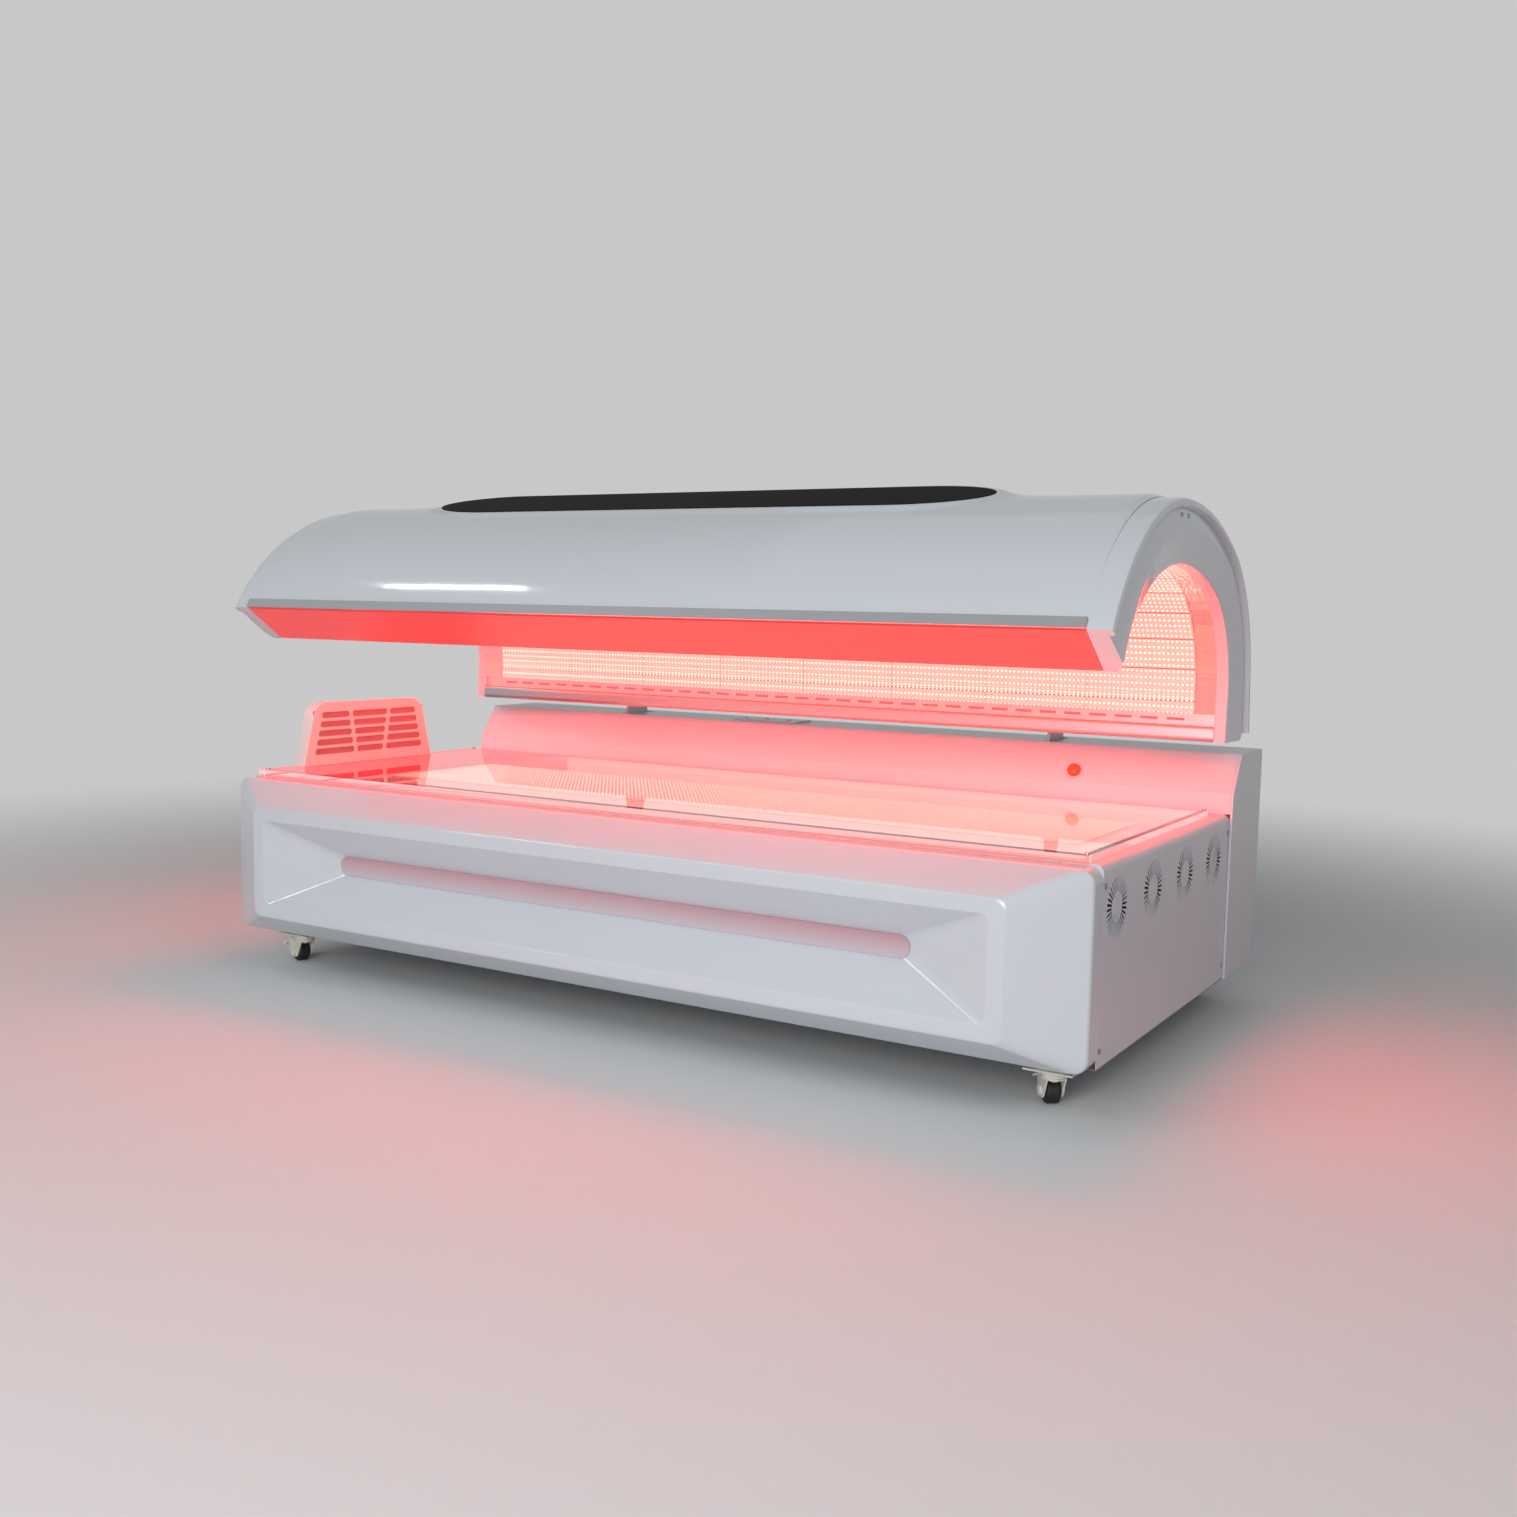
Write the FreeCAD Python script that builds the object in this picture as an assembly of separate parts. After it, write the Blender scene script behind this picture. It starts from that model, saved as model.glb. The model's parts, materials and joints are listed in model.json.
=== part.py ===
import FreeCAD, Part
import math
import os

# Red light therapy bed. A cabinet on casters carries a lit deck, and a lit canopy
# swings on a column along the back. Sizes in mm, +Z up, +X along the length.
# While building, Y = 0 is the front panel's outline plane; save() moves every
# piece so that the origin is on the floor under the middle of the whole bed.

# General
SEAM = 0.5
NEAR = 0.4
RUN = 0.05
SINK = 1.0
SCREW_R = 2.5
SCREW_HEAD_R = 5.0
SCREW_HEAD_T = 2.0
SCREW_HOLE_GAP = 0.1

# Casters
WHEEL_R = 25.0
WHEEL_HALF_W = 14.0
WHEEL_EDGE_R = 6.0
WHEEL_DISH = 3.0
WHEEL_DISH_R = 17.0
WHEEL_BOSS_R = 9.0
CASTER_IN = 100.0
CASTER_FRONT = 110.0
CASTER_BACK_GAP = 46.0
FRONT_LEFT_TURN = 163.0
FRONT_RIGHT_TURN = 125.0
REAR_TURN = 168.0
TRAIL = 20.0
CROWN_GAP = 4.0
CROWN_T = 4.0
RACE_H = 13.0
RACE_R = 24.0
PLATE_T = 4.0
PLATE_HALF_X = 48.0
PLATE_HALF_Y = 38.0
RISER_H = 25.0
RISER_HALF = 30.0
AXLE_R = 5.0
KING_HEAD_R = 9.0
KING_HEAD_T = 6.0
LEG_T = 3.0
LEG_GAP = 2.0
LEG_FOOT = 13.0
LEG_TOP_IN = 4.0
CROWN_REACH = 8.0
EAR = 5.0
AXLE_NUT_R = 10.0
AXLE_NUT_T = 5.0
PEDAL_OUT = 22.0
PEDAL_RISE = 25.0
PEDAL_DIP = 22.0
PEDAL_PIN_R = 3.0
PEDAL_LEN = 40.0
PEDAL_HALF_W = 22.0
PEDAL_T = 5.0
PEDAL_NECK = 12.0
PEDAL_SLEEVE = 2.0

# Cabinet and column
CABINET_HALF = 1085.0
CABINET_DEPTH = 886.0
CABINET_H = 370.0
PAN_T = 2.0
WRAP = 45.0
SKIRT_H = 22.0
SIDE_T = 4.0
COLUMN_PROUD = 6.0
COLUMN_DEPTH = 245.0
COLUMN_RISE = 130.0
KINK_RISE = 45.0
LEAN_RUN = 60.0
COVER_T = 3.0
END_KINK_R = 30.0
END_CORNER_R = 6.0

# Front panel and its light
PANEL_DEPTH = 76.0
PANEL_T = 5.0
PANEL_DROP = 3.0
PANEL_CORNER_R = 25.0
RIM_IN = 135.0
RIM_UP = 52.0
RIM_DOWN = 55.0
RIM_W = 30.0
RIM_CORNER_R = 20.0
RECESS_CORNER_R = 14.0
SLOT_IN = 348.0
SLOT_RISE = 185.0
SLOT_H = 44.0
SLOT_FLAT = 4.0
LENS_T = 4.0
LENS_BACK_T = 4.0
LENS_LAP = 14.0
CHANNEL_DEPTH = 22.0
CHANNEL_WALL = 2.0
STRIP_W = 12.0
STRIP_T = 1.6

# Deck
SHEET_IN = 27.0
SHEET_FRONT = 33.0
SHEET_BACK_GAP = 75.0
SHEET_T = 15.0
SHEET_R = 8.0
WELL_IN = 45.0
WELL_FRONT = 70.0
WELL_BACK_GAP = 86.0
BORDER_T = 5.0
BORDER_EDGE = 18.0
BORDER_EDGE_R = 16.0
TRAY_DEPTH = 40.0
TRAY_T = 3.0
BOARD_W = 71.0
BOARD_T = 2.0
DECK_BOARDS = 5
LED_DROP = 7.0
LED_LEFT_IN = 305.0
LED_RIGHT_IN = 108.0
LED_SHIFT = -45.0
SINK_LIP = 4.0
SINK_T = 4.0
SINK_FIN = 8.0

# Exhaust fans and the vents in front of them
FAN_SIZE = 120.0
FAN_DEPTH = 38.0
FAN_BORE_R = 57.0
FAN_HUB_R = 21.0
FAN_CHORD = 29.0
FAN_BLADES = 7
FAN_PLATE_T = 6.0
FAN_ARM_W = 6.0
FAN_PIN_R = 3.0
FAN_CLEAR = 2.0
FAN_BLADE_T = 2.0
FAN_BLADE_ROOT = 3.0
VENT_FRONT = 126.0
VENT_PITCH = 214.0
VENT_DROP = 64.0
VENT_COUNT = 4
VENT_HUB_R = 28.0
VENT_SLOTS = 32
VENT_SLOT_W = 4.5
SIDE_SCREW_IN = 12.0
SIDE_SCREW_DOWN = 17.0
SIDE_SCREW_UP = 31.0

# Face fan housing at the head end, standing on the deck sheet
HEAD_IN = 38.0
HEAD_DEPTH = 36.0
HEAD_MID = 372.0
HEAD_LOW_HALF = 226.0
HEAD_TOP_HALF = 186.0
HEAD_H = 157.0
HEAD_CORNER_R = 45.0
HEAD_WALL = 3.0
GRILLE_ROWS = 5
GRILLE_RISE = 26.0
GRILLE_PITCH = 23.0
GRILLE_H = 16.0
GRILLE_R = 7.0
GRILLE_BAR = 10.0
GRILLE_MARGIN = 28.0
GRILLE_MID = 50.0
GRILLE_LEAN = 0.17
FACE_FAN_SIZE = 92.0
FACE_FAN_DEPTH = 25.0
FACE_FAN_BORE_R = 43.0
FACE_FAN_HUB_R = 16.5
FACE_FAN_CHORD = 22.0
FACE_FAN_OFFSET = 105.0
FACE_FAN_RISE = 67.0

# Stop button on the leaning face of the column
STOP_X = 720.0
STOP_UP = 26.0
STOP_HEAD_R = 16.0
STOP_HEAD_T = 14.0
STOP_CROWN_R = 12.0
STOP_STEM_R = 6.0
STOP_TRAVEL = 5.0
COLLAR_T = 4.0
COLLAR_RIM = 2.0
COLLAR_NECK_R = 11.0
COLLAR_DEEP = 22.0

# Welded frame and what stands on the pan
TUBE = 40.0
TUBE_WALL = 2.5
FRAME_IN = 80.0
MID_TUBE_X = 330.0
FRONT_RAIL_Y = 90.0
DECK_RAIL_GAP = 96.0
BACK_RAIL_GAP = 29.0
SUPPLY_XS = (-820.0, -560.0, -160.0, 60.0, 480.0, 740.0)
SUPPLY_Y = 300.0
SUPPLY_L = 215.0
SUPPLY_W = 115.0
SUPPLY_H = 50.0
CONTROL_X = -70.0
CONTROL_Y = 700.0
CONTROL_L = 260.0
CONTROL_W = 180.0
CONTROL_H = 80.0
CONTROL_R = 4.0

# Mains inlet in the back panel
INLET_IN = 185.0
INLET_RISE = 90.0
INLET_HALF_W = 24.0
INLET_HALF_H = 14.0
INLET_DEEP = 30.0
INLET_LIP = 5.0
INLET_BLADE_T = 2.0
INLET_BLADE_H = 4.0
SOCKET_HALF_W = 13.0
SOCKET_HALF_H = 8.5
SOCKET_DEEP = 20.0

# Canopy hinge, arms and gas struts
HINGE_IN = 101.0
HINGE_DROP = 45.0
PIN_R = 10.0
PIN_END = 2.0
ARM_X = 625.0
ARM_T = 8.0
ARM_GAP = 1.0
ARM_BOSS_R = 35.0
ARM_FLANGE_T = 6.0
ARM_FLANGE_H = 124.0
ARM_FLANGE_HALF = 35.0
ARM_WEB = 28.0
ARM_WAIST_AHEAD = 67.0
ARM_WAIST_RISE = 37.0
ARM_BACK = 32.0
ARM_SLOT_AHEAD = 79.0
ARM_SLOT_BEHIND = 66.0
ARM_SLOT_GAP = 5.0
CHEEK_T = 11.0
CHEEK_R = 24.0
BEAM_DROP = 85.0
FOOT_T = 6.0
LEVER_AHEAD = 77.0
LEVER_DROP = 92.0
LEVER_R = 24.0
LEVER_HOLE_R = 15.0
STRUT_IN = 27.0
STRUT_RISE = 24.0
STRUT_PIN_R = 5.0
STRUT_EYE_R = 11.0
STRUT_EYE_HALF = 8.0
CYLINDER_R = 14.0
CYLINDER_WALL = 3.0
NECK_R = 7.0
CYLINDER_START = 28.0
CYLINDER_END = 215.0
GLAND_T = 20.0
PISTON_AT = 110.0
PISTON_T = 10.0
ROD_R = 6.0
BRACKET_T = 4.0

# Cable plate on the column's top, left of the middle
CABLE_X = -182.0
CABLE_HALF = 97.0
CABLE_AHEAD = 45.0
CABLE_W = 80.0
CABLE_T = 5.0
CABLE_BOLT_R = 6.0
CABLE_BOLT_PITCH = 67.0

# Canopy section in the open pose, measured ahead of the hinge and above it
CANOPY_HALF = 1099.0
CAP_W = 49.0
CORNER_AHEAD = 1030.0
CORNER_RISE = 326.0
TRIM_W = 22.0
TRIM_LEAN = 62.6
APEX_AHEAD = 605.0
APEX_RISE = 585.0
CAP_DROP = 8.0
CROWN_R = 790.0
CROWN_TURN = 26.0
SHOULDER_R = 335.0
SHOULDER_TURN = 84.0
SHELL_FOOT_RISE = 95.0
SHELL_T = 5.0
SHELL_EDGE_R = 4.0
TIP_AHEAD = 926.0
TIP_RISE = 251.0
INNER_APEX_AHEAD = 560.0
INNER_APEX_RISE = 452.0
INNER_CROWN_R = 600.0
INNER_CROWN_TURN = 25.0
INNER_SHOULDER_R = 230.0
INNER_SHOULDER_TURN = 93.0
INNER_FOOT_RISE = 75.0
LIP_W = 61.0
LIP_START_UP = 22.0
LIP_START_AHEAD = 7.0
RIM_STEP = 10.0
FUNNEL_DEEP = 13.0
CAP_RIM_W = 18.0
CAP_RIM_R = 7.0
CAP_SCREW_R = 4.0
CAP_SCREW_PITCH = 45.0
CAP_SCREW_DOWN = 33.0
RAIL_T = 20.0
RAIL_EDGE_R = 3.0
GLAZING_T = 3.0
LED_GAP = 15.0
LED_END_IN = 50.0
LED_LEAD = 14.0
REFLECTOR_T = 1.5
BAR_W = 30.0
BAR_H = 34.0
BAR_LOW_R = 11.0
BAR_HIGH_R = 8.0
LEDGE_H = 26.0
LEDGE_T = 3.0
LEDGE_IN = 16.0
LEDGE_SLOT_L = 40.0
LEDGE_SLOT_H = 6.0
LEDGE_SLOT_PITCH = 60.0
RIB_T = 4.0
RIB_END_IN = 110.0
RIB_COUNT = 5
SPINE_SIZE = 48.0
SPINE_RISE = 22.0

# Display glass on its mound
GLASS_AHEAD = 685.0
GLASS_RISE = 587.5
GLASS_TILT = 16.0
GLASS_IN = 369.0
GLASS_END = 200.0
GLASS_FLAT = CANOPY_HALF - GLASS_IN - GLASS_END
GLASS_HALF_W = 88.0
GLASS_T = 6.0
MOUND_RIM = 14.0
MOUND_DEEP = 105.0
MOUND_FRONT = 52.5
MOUND_BACK = 157.5
MOUND_ENDS = 231.0

# Places that follow from the sizes
CROWN_Z = 2 * WHEEL_R + CROWN_GAP
PAN_Z = CROWN_Z + CROWN_T + RACE_H + PLATE_T + RISER_H
PAN_TOP = PAN_Z + PAN_T
DECK_Z = PAN_Z + CABINET_H
DECK_TOP = DECK_Z + SHEET_T
SKIRT_Z = DECK_Z - SKIRT_H
PANEL_TOP = DECK_Z - PANEL_DROP
BACK_Y = CABINET_DEPTH + COLUMN_DEPTH
TOP_Y = CABINET_DEPTH + LEAN_RUN
TOP_Z = DECK_Z + COLUMN_RISE
KINK_Z = DECK_Z + KINK_RISE
SHEET_HALF = CABINET_HALF - SHEET_IN
SHEET_BACK = CABINET_DEPTH - SHEET_BACK_GAP
WELL_HALF = CABINET_HALF - WELL_IN
WELL_BACK = CABINET_DEPTH - WELL_BACK_GAP
TRAY_Z = DECK_Z - TRAY_DEPTH
DECK_LED_Z = DECK_Z - LED_DROP
DECK_LED_X = (LED_LEFT_IN - CABINET_HALF, CABINET_HALF - LED_RIGHT_IN)
VENT_Z = SKIRT_Z - VENT_DROP
HEAD_X = HEAD_IN - SHEET_HALF
FRAME_HALF = CABINET_HALF - FRAME_IN
BACK_RAIL_Y = BACK_Y - BACK_RAIL_GAP - TUBE
INLET_X = INLET_IN - CABINET_HALF
HINGE_Y = BACK_Y - HINGE_IN
HINGE_Z = TOP_Z - HINGE_DROP
BEAM_Z = HINGE_Z - BEAM_DROP
LEVER_Y = HINGE_Y - LEVER_AHEAD
LEVER_Z = HINGE_Z - LEVER_DROP
STRUT_X = ARM_X - STRUT_IN
STRUT_Y = BACK_RAIL_Y + TUBE / 2
STRUT_Z = PAN_TOP + TUBE + STRUT_RISE
SLOT_R = (SLOT_H - SLOT_FLAT) / 2
SEAM_X = CANOPY_HALF - CAP_W
CANOPY_LED_HALF = SEAM_X - LED_END_IN
BAND_X = CANOPY_HALF - RIM_STEP
FUNNEL_X = BAND_X - FUNNEL_DEEP
LED_GROW = GLAZING_T + LED_GAP
CORNER = (HINGE_Y - CORNER_AHEAD, HINGE_Z + CORNER_RISE)
TIP = (HINGE_Y - TIP_AHEAD, HINGE_Z + TIP_RISE)
SHELL_FOOT = HINGE_Z + SHELL_FOOT_RISE
INNER_FOOT = HINGE_Z + INNER_FOOT_RISE
BAR_TOP = INNER_FOOT + BAR_H
LEDGE_TOP = BAR_TOP + LEDGE_H
SHIFT = FreeCAD.Vector(0, (PANEL_DEPTH - BACK_Y) / 2, 0)


def vec(x, y, z):
    return FreeCAD.Vector(x, y, z)


def save(name, shapes):
    # one file per named piece, moved to the shared origin
    shape = shapes[0] if len(shapes) == 1 else Part.makeCompound(shapes)
    shape = shape.copy()
    shape.translate(SHIFT)
    shape.exportStep("parts/" + name + ".step")


def box(x, y, z):
    # x, y and z are (low, high) pairs
    return Part.makeBox(x[1] - x[0], y[1] - y[0], z[1] - z[0], vec(x[0], y[0], z[0]))


def rod(start, end, radius):
    return Part.makeCylinder(radius, (end - start).Length, start, end - start)


def disc_x(x, y, z, radius):
    # round bar along X between the two values of x
    return rod(vec(x[0], y, z), vec(x[1], y, z), radius)


def joined(shapes):
    whole = shapes[0]
    if len(shapes) > 1:
        whole = whole.fuse(shapes[1:])
    return whole.removeSplitter()


def mirrored(shape):
    return shape.mirror(vec(0, 0, 0), vec(1, 0, 0))


def rounded(points, radii):
    # closed wire through corner points, each corner rounded by its radius
    starts = []
    middles = []
    ends = []
    count = len(points)
    for i in range(count):
        corner = points[i]
        back = (points[i - 1] - corner).normalize()
        ahead = (points[(i + 1) % count] - corner).normalize()
        half = back.getAngle(ahead) / 2
        reach = radii[i] / math.tan(half)
        inward = (back + ahead).normalize()
        starts.append(corner + back * reach)
        ends.append(corner + ahead * reach)
        middles.append(corner + inward * (radii[i] / math.sin(half) - radii[i]))
    edges = []
    for i in range(count):
        following = starts[(i + 1) % count]
        if radii[i] > 0:
            edges.append(Part.Arc(starts[i], middles[i], ends[i]).toShape())
        if (following - ends[i]).Length > 0.001:
            edges.append(Part.LineSegment(ends[i], following).toShape())
    return Part.Wire(edges)


def rect_wire(y, half_x, low, high, radius):
    # rounded rectangle facing the front
    corners = [vec(-half_x, y, low), vec(half_x, y, low), vec(half_x, y, high), vec(-half_x, y, high)]
    return rounded(corners, [radius] * 4)


def section(points, radii, x):
    # prism along X over a (y, z) outline
    wire = rounded([vec(x[0], p[0], p[1]) for p in points], radii)
    return Part.Face(wire).extrude(vec(x[1] - x[0], 0, 0))


def plain(points, x):
    return section(points, [0.0] * len(points), x)


def polar(centre, radius, degrees):
    # degrees count from straight up towards the back
    turn = math.radians(degrees)
    return (centre[0] + radius * math.sin(turn), centre[1] + radius * math.cos(turn))


class Arch:
    # front arc from its start up to the apex, crown arc, shoulder arc, straight foot

    def __init__(self, start, apex, crown, shoulder):
        run = apex[0] - start[0]
        rise = apex[1] - start[1]
        self.front_r = (run * run + rise * rise) / (2 * rise)
        self.front_turn = math.degrees(2 * math.atan2(rise, run))
        self.crown_r, self.crown_turn = crown
        self.shoulder_r, self.shoulder_turn = shoulder
        self.front_mid = (apex[0], apex[1] - self.front_r)
        self.crown_mid = (apex[0], apex[1] - self.crown_r)
        self.shoulder_mid = polar(self.crown_mid, self.crown_r - self.shoulder_r, self.crown_turn)

    def wall_y(self, z, grow):
        # place of the straight foot at a level
        bottom = polar(self.shoulder_mid, self.shoulder_r + grow, self.shoulder_turn)
        return bottom[0] + (bottom[1] - z) / math.tan(math.radians(self.shoulder_turn))

    def edges(self, x, grow, lead, foot):
        # grow offsets it outward, lead leaves out that length at the front
        def arc(mid, radius, first, last):
            places = [polar(mid, radius, turn) for turn in (first, (first + last) / 2, last)]
            return Part.Arc(*[vec(x, p[0], p[1]) for p in places]).toShape()

        first = math.degrees(lead / self.front_r) - self.front_turn
        run = [arc(self.front_mid, self.front_r + grow, first, 0)]
        run.append(arc(self.crown_mid, self.crown_r + grow, 0, self.crown_turn))
        last_r = self.shoulder_r + grow
        run.append(arc(self.shoulder_mid, last_r, self.crown_turn, self.shoulder_turn))
        bottom = polar(self.shoulder_mid, last_r, self.shoulder_turn)
        end = vec(x, self.wall_y(foot, grow), foot)
        run.append(Part.LineSegment(vec(x, bottom[0], bottom[1]), end).toShape())
        return run


def ends_of(edges):
    points = Part.Wire(edges).OrderedVertexes
    return points[0].Point, points[-1].Point


def lines(points):
    return [Part.LineSegment(points[i], points[i + 1]).toShape() for i in range(len(points) - 1)]


def closed(edges, more):
    # closes a run of edges with straight lines through further points
    first, last = ends_of(edges)
    return Part.Wire(edges + lines([last] + more + [first]))


def between(outer, inner, more, length):
    # prism along X between two runs of edges that both go from front to back
    outer_first, outer_last = ends_of(outer)
    inner_first, inner_last = ends_of(inner)
    edges = outer + lines([outer_last, inner_last]) + inner + lines([inner_first] + more + [outer_first])
    wire = Part.Wire(Part.sortEdges(edges)[0])
    return Part.Face(wire).extrude(vec(length, 0, 0))


def under(edges):
    # wire round the space under an arch, down to the floor
    first, last = ends_of(edges)
    return closed(edges, [vec(last.x, last.y, 0), vec(first.x, first.y, 0)])


trim_turn = math.radians(TRIM_LEAN)
SHELL_START = (CORNER[0] + TRIM_W * math.cos(trim_turn), CORNER[1] + TRIM_W * math.sin(trim_turn))
SHELL_APEX = (HINGE_Y - APEX_AHEAD, HINGE_Z + APEX_RISE)
INNER_APEX = (HINGE_Y - INNER_APEX_AHEAD, HINGE_Z + INNER_APEX_RISE)
shell_arch = Arch(SHELL_START, SHELL_APEX, (CROWN_R, CROWN_TURN), (SHOULDER_R, SHOULDER_TURN))
cap_arch = Arch(SHELL_START, (SHELL_APEX[0], SHELL_APEX[1] - CAP_DROP),
                (CROWN_R, CROWN_TURN), (SHOULDER_R, SHOULDER_TURN))
inner_arch = Arch(TIP, INNER_APEX, (INNER_CROWN_R, INNER_CROWN_TURN),
                  (INNER_SHOULDER_R, INNER_SHOULDER_TURN))
lip_arch = Arch((TIP[0] - LIP_START_AHEAD, TIP[1] + LIP_START_UP), (INNER_APEX[0], INNER_APEX[1] + LIP_W),
                (INNER_CROWN_R + LIP_W, INNER_CROWN_TURN), (INNER_SHOULDER_R + LIP_W, INNER_SHOULDER_TURN))


def front_panel():
    # sloped bands out to a flat rim, then a recess sloping in to the light's slot
    def band(y, out, up, down, grow, radius):
        half = CABINET_HALF - out + grow
        return rect_wire(y, half, PAN_Z + up - grow, PANEL_TOP - down + grow, radius + grow)

    def frustum(grow):
        base = band(0, 0, 0, 0, grow, PANEL_CORNER_R)
        rim = band(-PANEL_DEPTH - grow, RIM_IN, RIM_UP, RIM_DOWN, grow, RIM_CORNER_R)
        wrap = Part.Face(base).extrude(vec(0, WRAP, 0))
        return Part.makeLoft([base, rim], True, True).fuse(wrap)

    def recess(grow):
        mouth = band(-PANEL_DEPTH, RIM_IN + RIM_W, RIM_UP + RIM_W, RIM_DOWN + RIM_W, grow, RECESS_CORNER_R)
        return Part.makeLoft([mouth, slot_wire(0, grow)], True, True)

    skin = frustum(0).cut(frustum(-PANEL_T))
    return skin.fuse(recess(PANEL_T)).cut(recess(0)).removeSplitter()


def slot_wire(y, grow):
    # outline of the light's slot
    middle = PAN_Z + SLOT_RISE
    half = SLOT_H / 2
    long_half = CABINET_HALF - SLOT_IN + grow
    return rect_wire(y, long_half, middle - half - grow, middle + half + grow, SLOT_R + grow)


def front_diffuser():
    lens = Part.Face(slot_wire(-LENS_T, -NEAR)).extrude(vec(0, LENS_T, 0))
    back = Part.Face(slot_wire(0, LENS_LAP)).extrude(vec(0, LENS_BACK_T, 0))
    return lens.fuse(back).removeSplitter()


def front_light():
    # trough behind the diffuser with the light strip on its floor
    half = CABINET_HALF - SLOT_IN + LENS_LAP / 2
    middle = PAN_Z + SLOT_RISE
    tall = SLOT_H / 2 + LENS_LAP / 2
    wall = CHANNEL_WALL
    end = LENS_BACK_T + CHANNEL_DEPTH
    trough = box((-half, half), (LENS_BACK_T, end), (middle - tall, middle + tall))
    inside = (middle - tall + wall, middle + tall - wall)
    room = box((wall - half, half - wall), (LENS_BACK_T, end - wall), inside)
    strip = box((2 * wall - half, half - 2 * wall), (end - wall - STRIP_T, end - wall),
                (middle - STRIP_W / 2, middle + STRIP_W / 2))
    return [trough.cut(room), strip]


def side_screw_places():
    front = WRAP + SIDE_SCREW_IN
    back = CABINET_DEPTH - SIDE_SCREW_IN
    return [(y, z) for y in (front, back) for z in (PAN_TOP + SIDE_SCREW_UP, SKIRT_Z - SIDE_SCREW_DOWN)]


def side_panel():
    # right-hand panel: flat sheet with round vents of radial slots
    thick = (CABINET_HALF - SIDE_T, CABINET_HALF)
    sheet = box(thick, (WRAP + SEAM, CABINET_DEPTH - SEAM), (PAN_TOP, SKIRT_Z))
    cuts = []
    for i in range(VENT_COUNT):
        middle = vec(0, VENT_FRONT + i * VENT_PITCH, VENT_Z)
        for k in range(VENT_SLOTS):
            slot = box(thick, (VENT_HUB_R, FAN_BORE_R), (-VENT_SLOT_W / 2, VENT_SLOT_W / 2))
            slot.rotate(vec(0, 0, 0), vec(1, 0, 0), 360.0 * k / VENT_SLOTS)
            slot.translate(middle)
            cuts.append(slot)
    for y, z in side_screw_places():
        cuts.append(disc_x(thick, y, z, SCREW_R + SCREW_HOLE_GAP))
    return sheet.cut(cuts)


def deck_screw_places():
    across = (WELL_HALF + SHEET_HALF) / 2
    front = (WRAP + WELL_FRONT) / 2
    back = (WELL_BACK + SHEET_BACK) / 2
    return [(x, y) for x in (-across, across) for y in (front, back)]


def deck_frame():
    # border round the lit well, rounded along both ends
    back = CABINET_DEPTH + COVER_T
    outer = box((-CABINET_HALF, CABINET_HALF), (WRAP + SEAM, back), (SKIRT_Z, DECK_Z))
    rims = []
    for edge in outer.Edges:
        middle = edge.CenterOfMass
        if abs(middle.x) > CABINET_HALF - 0.01 and middle.z > DECK_Z - 0.01:
            rims.append(edge)
    outer = outer.makeFillet(BORDER_EDGE_R, rims)
    hollow = box((BORDER_EDGE - CABINET_HALF, CABINET_HALF - BORDER_EDGE),
                 (WRAP + SEAM + BORDER_T, back - BORDER_T), (SKIRT_Z, DECK_Z - BORDER_T))
    well = box((-WELL_HALF, WELL_HALF), (WELL_FRONT, WELL_BACK), (SKIRT_Z, DECK_Z))
    holes = []
    for x, y in deck_screw_places():
        holes.append(rod(vec(x, y, SKIRT_Z), vec(x, y, DECK_Z), SCREW_R + SCREW_HOLE_GAP))
    return outer.cut([hollow, well] + holes)


def bed_acrylic():
    corners = [vec(-SHEET_HALF, SHEET_FRONT, DECK_Z), vec(SHEET_HALF, SHEET_FRONT, DECK_Z)]
    corners += [vec(SHEET_HALF, SHEET_BACK, DECK_Z), vec(-SHEET_HALF, SHEET_BACK, DECK_Z)]
    sheet = Part.Face(rounded(corners, [SHEET_R] * 4)).extrude(vec(0, 0, SHEET_T))
    holes = []
    for x, y in deck_screw_places():
        holes.append(rod(vec(x, y, DECK_Z), vec(x, y, DECK_TOP), SCREW_R + SCREW_HOLE_GAP))
    return sheet.cut(holes)


def deck_board_edges():
    middle = (WELL_FRONT + WELL_BACK) / 2 + LED_SHIFT
    first = middle - DECK_BOARDS * BOARD_W / 2
    return [first + i * BOARD_W for i in range(DECK_BOARDS + 1)]


def bed_tray():
    # pan under the deck sheet with the raised, finned heat sink that carries the boards
    half = WELL_HALF - SEAM
    front = WELL_FRONT + SEAM
    back = WELL_BACK - SEAM
    floor = TRAY_Z + TRAY_T
    pan = box((-half, half), (front, back), (TRAY_Z, DECK_Z - SEAM))
    room = box((TRAY_T - half, half - TRAY_T), (front + TRAY_T, back - TRAY_T), (floor, DECK_Z))
    edges = deck_board_edges()
    top = DECK_LED_Z - BOARD_T
    length = (DECK_LED_X[0] - SINK_LIP, DECK_LED_X[1] + SINK_LIP)
    sink = box(length, (edges[0] - SINK_LIP, edges[-1] + SINK_LIP), (floor, top))
    gaps = []
    for i in range(2 * DECK_BOARDS):
        middle = edges[0] + (i + 0.5) * BOARD_W / 2
        half_gap = (BOARD_W / 2 - SINK_FIN) / 2
        gaps.append(box(length, (middle - half_gap, middle + half_gap), (floor, top - SINK_T)))
    return [pan.cut(room), sink.cut(gaps)]


def bed_boards():
    edges = deck_board_edges()
    boards = []
    for i in range(DECK_BOARDS):
        across = (edges[i] + SEAM, edges[i + 1] - SEAM)
        boards.append(box(DECK_LED_X, across, (DECK_LED_Z - BOARD_T, DECK_LED_Z)))
    return boards


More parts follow.
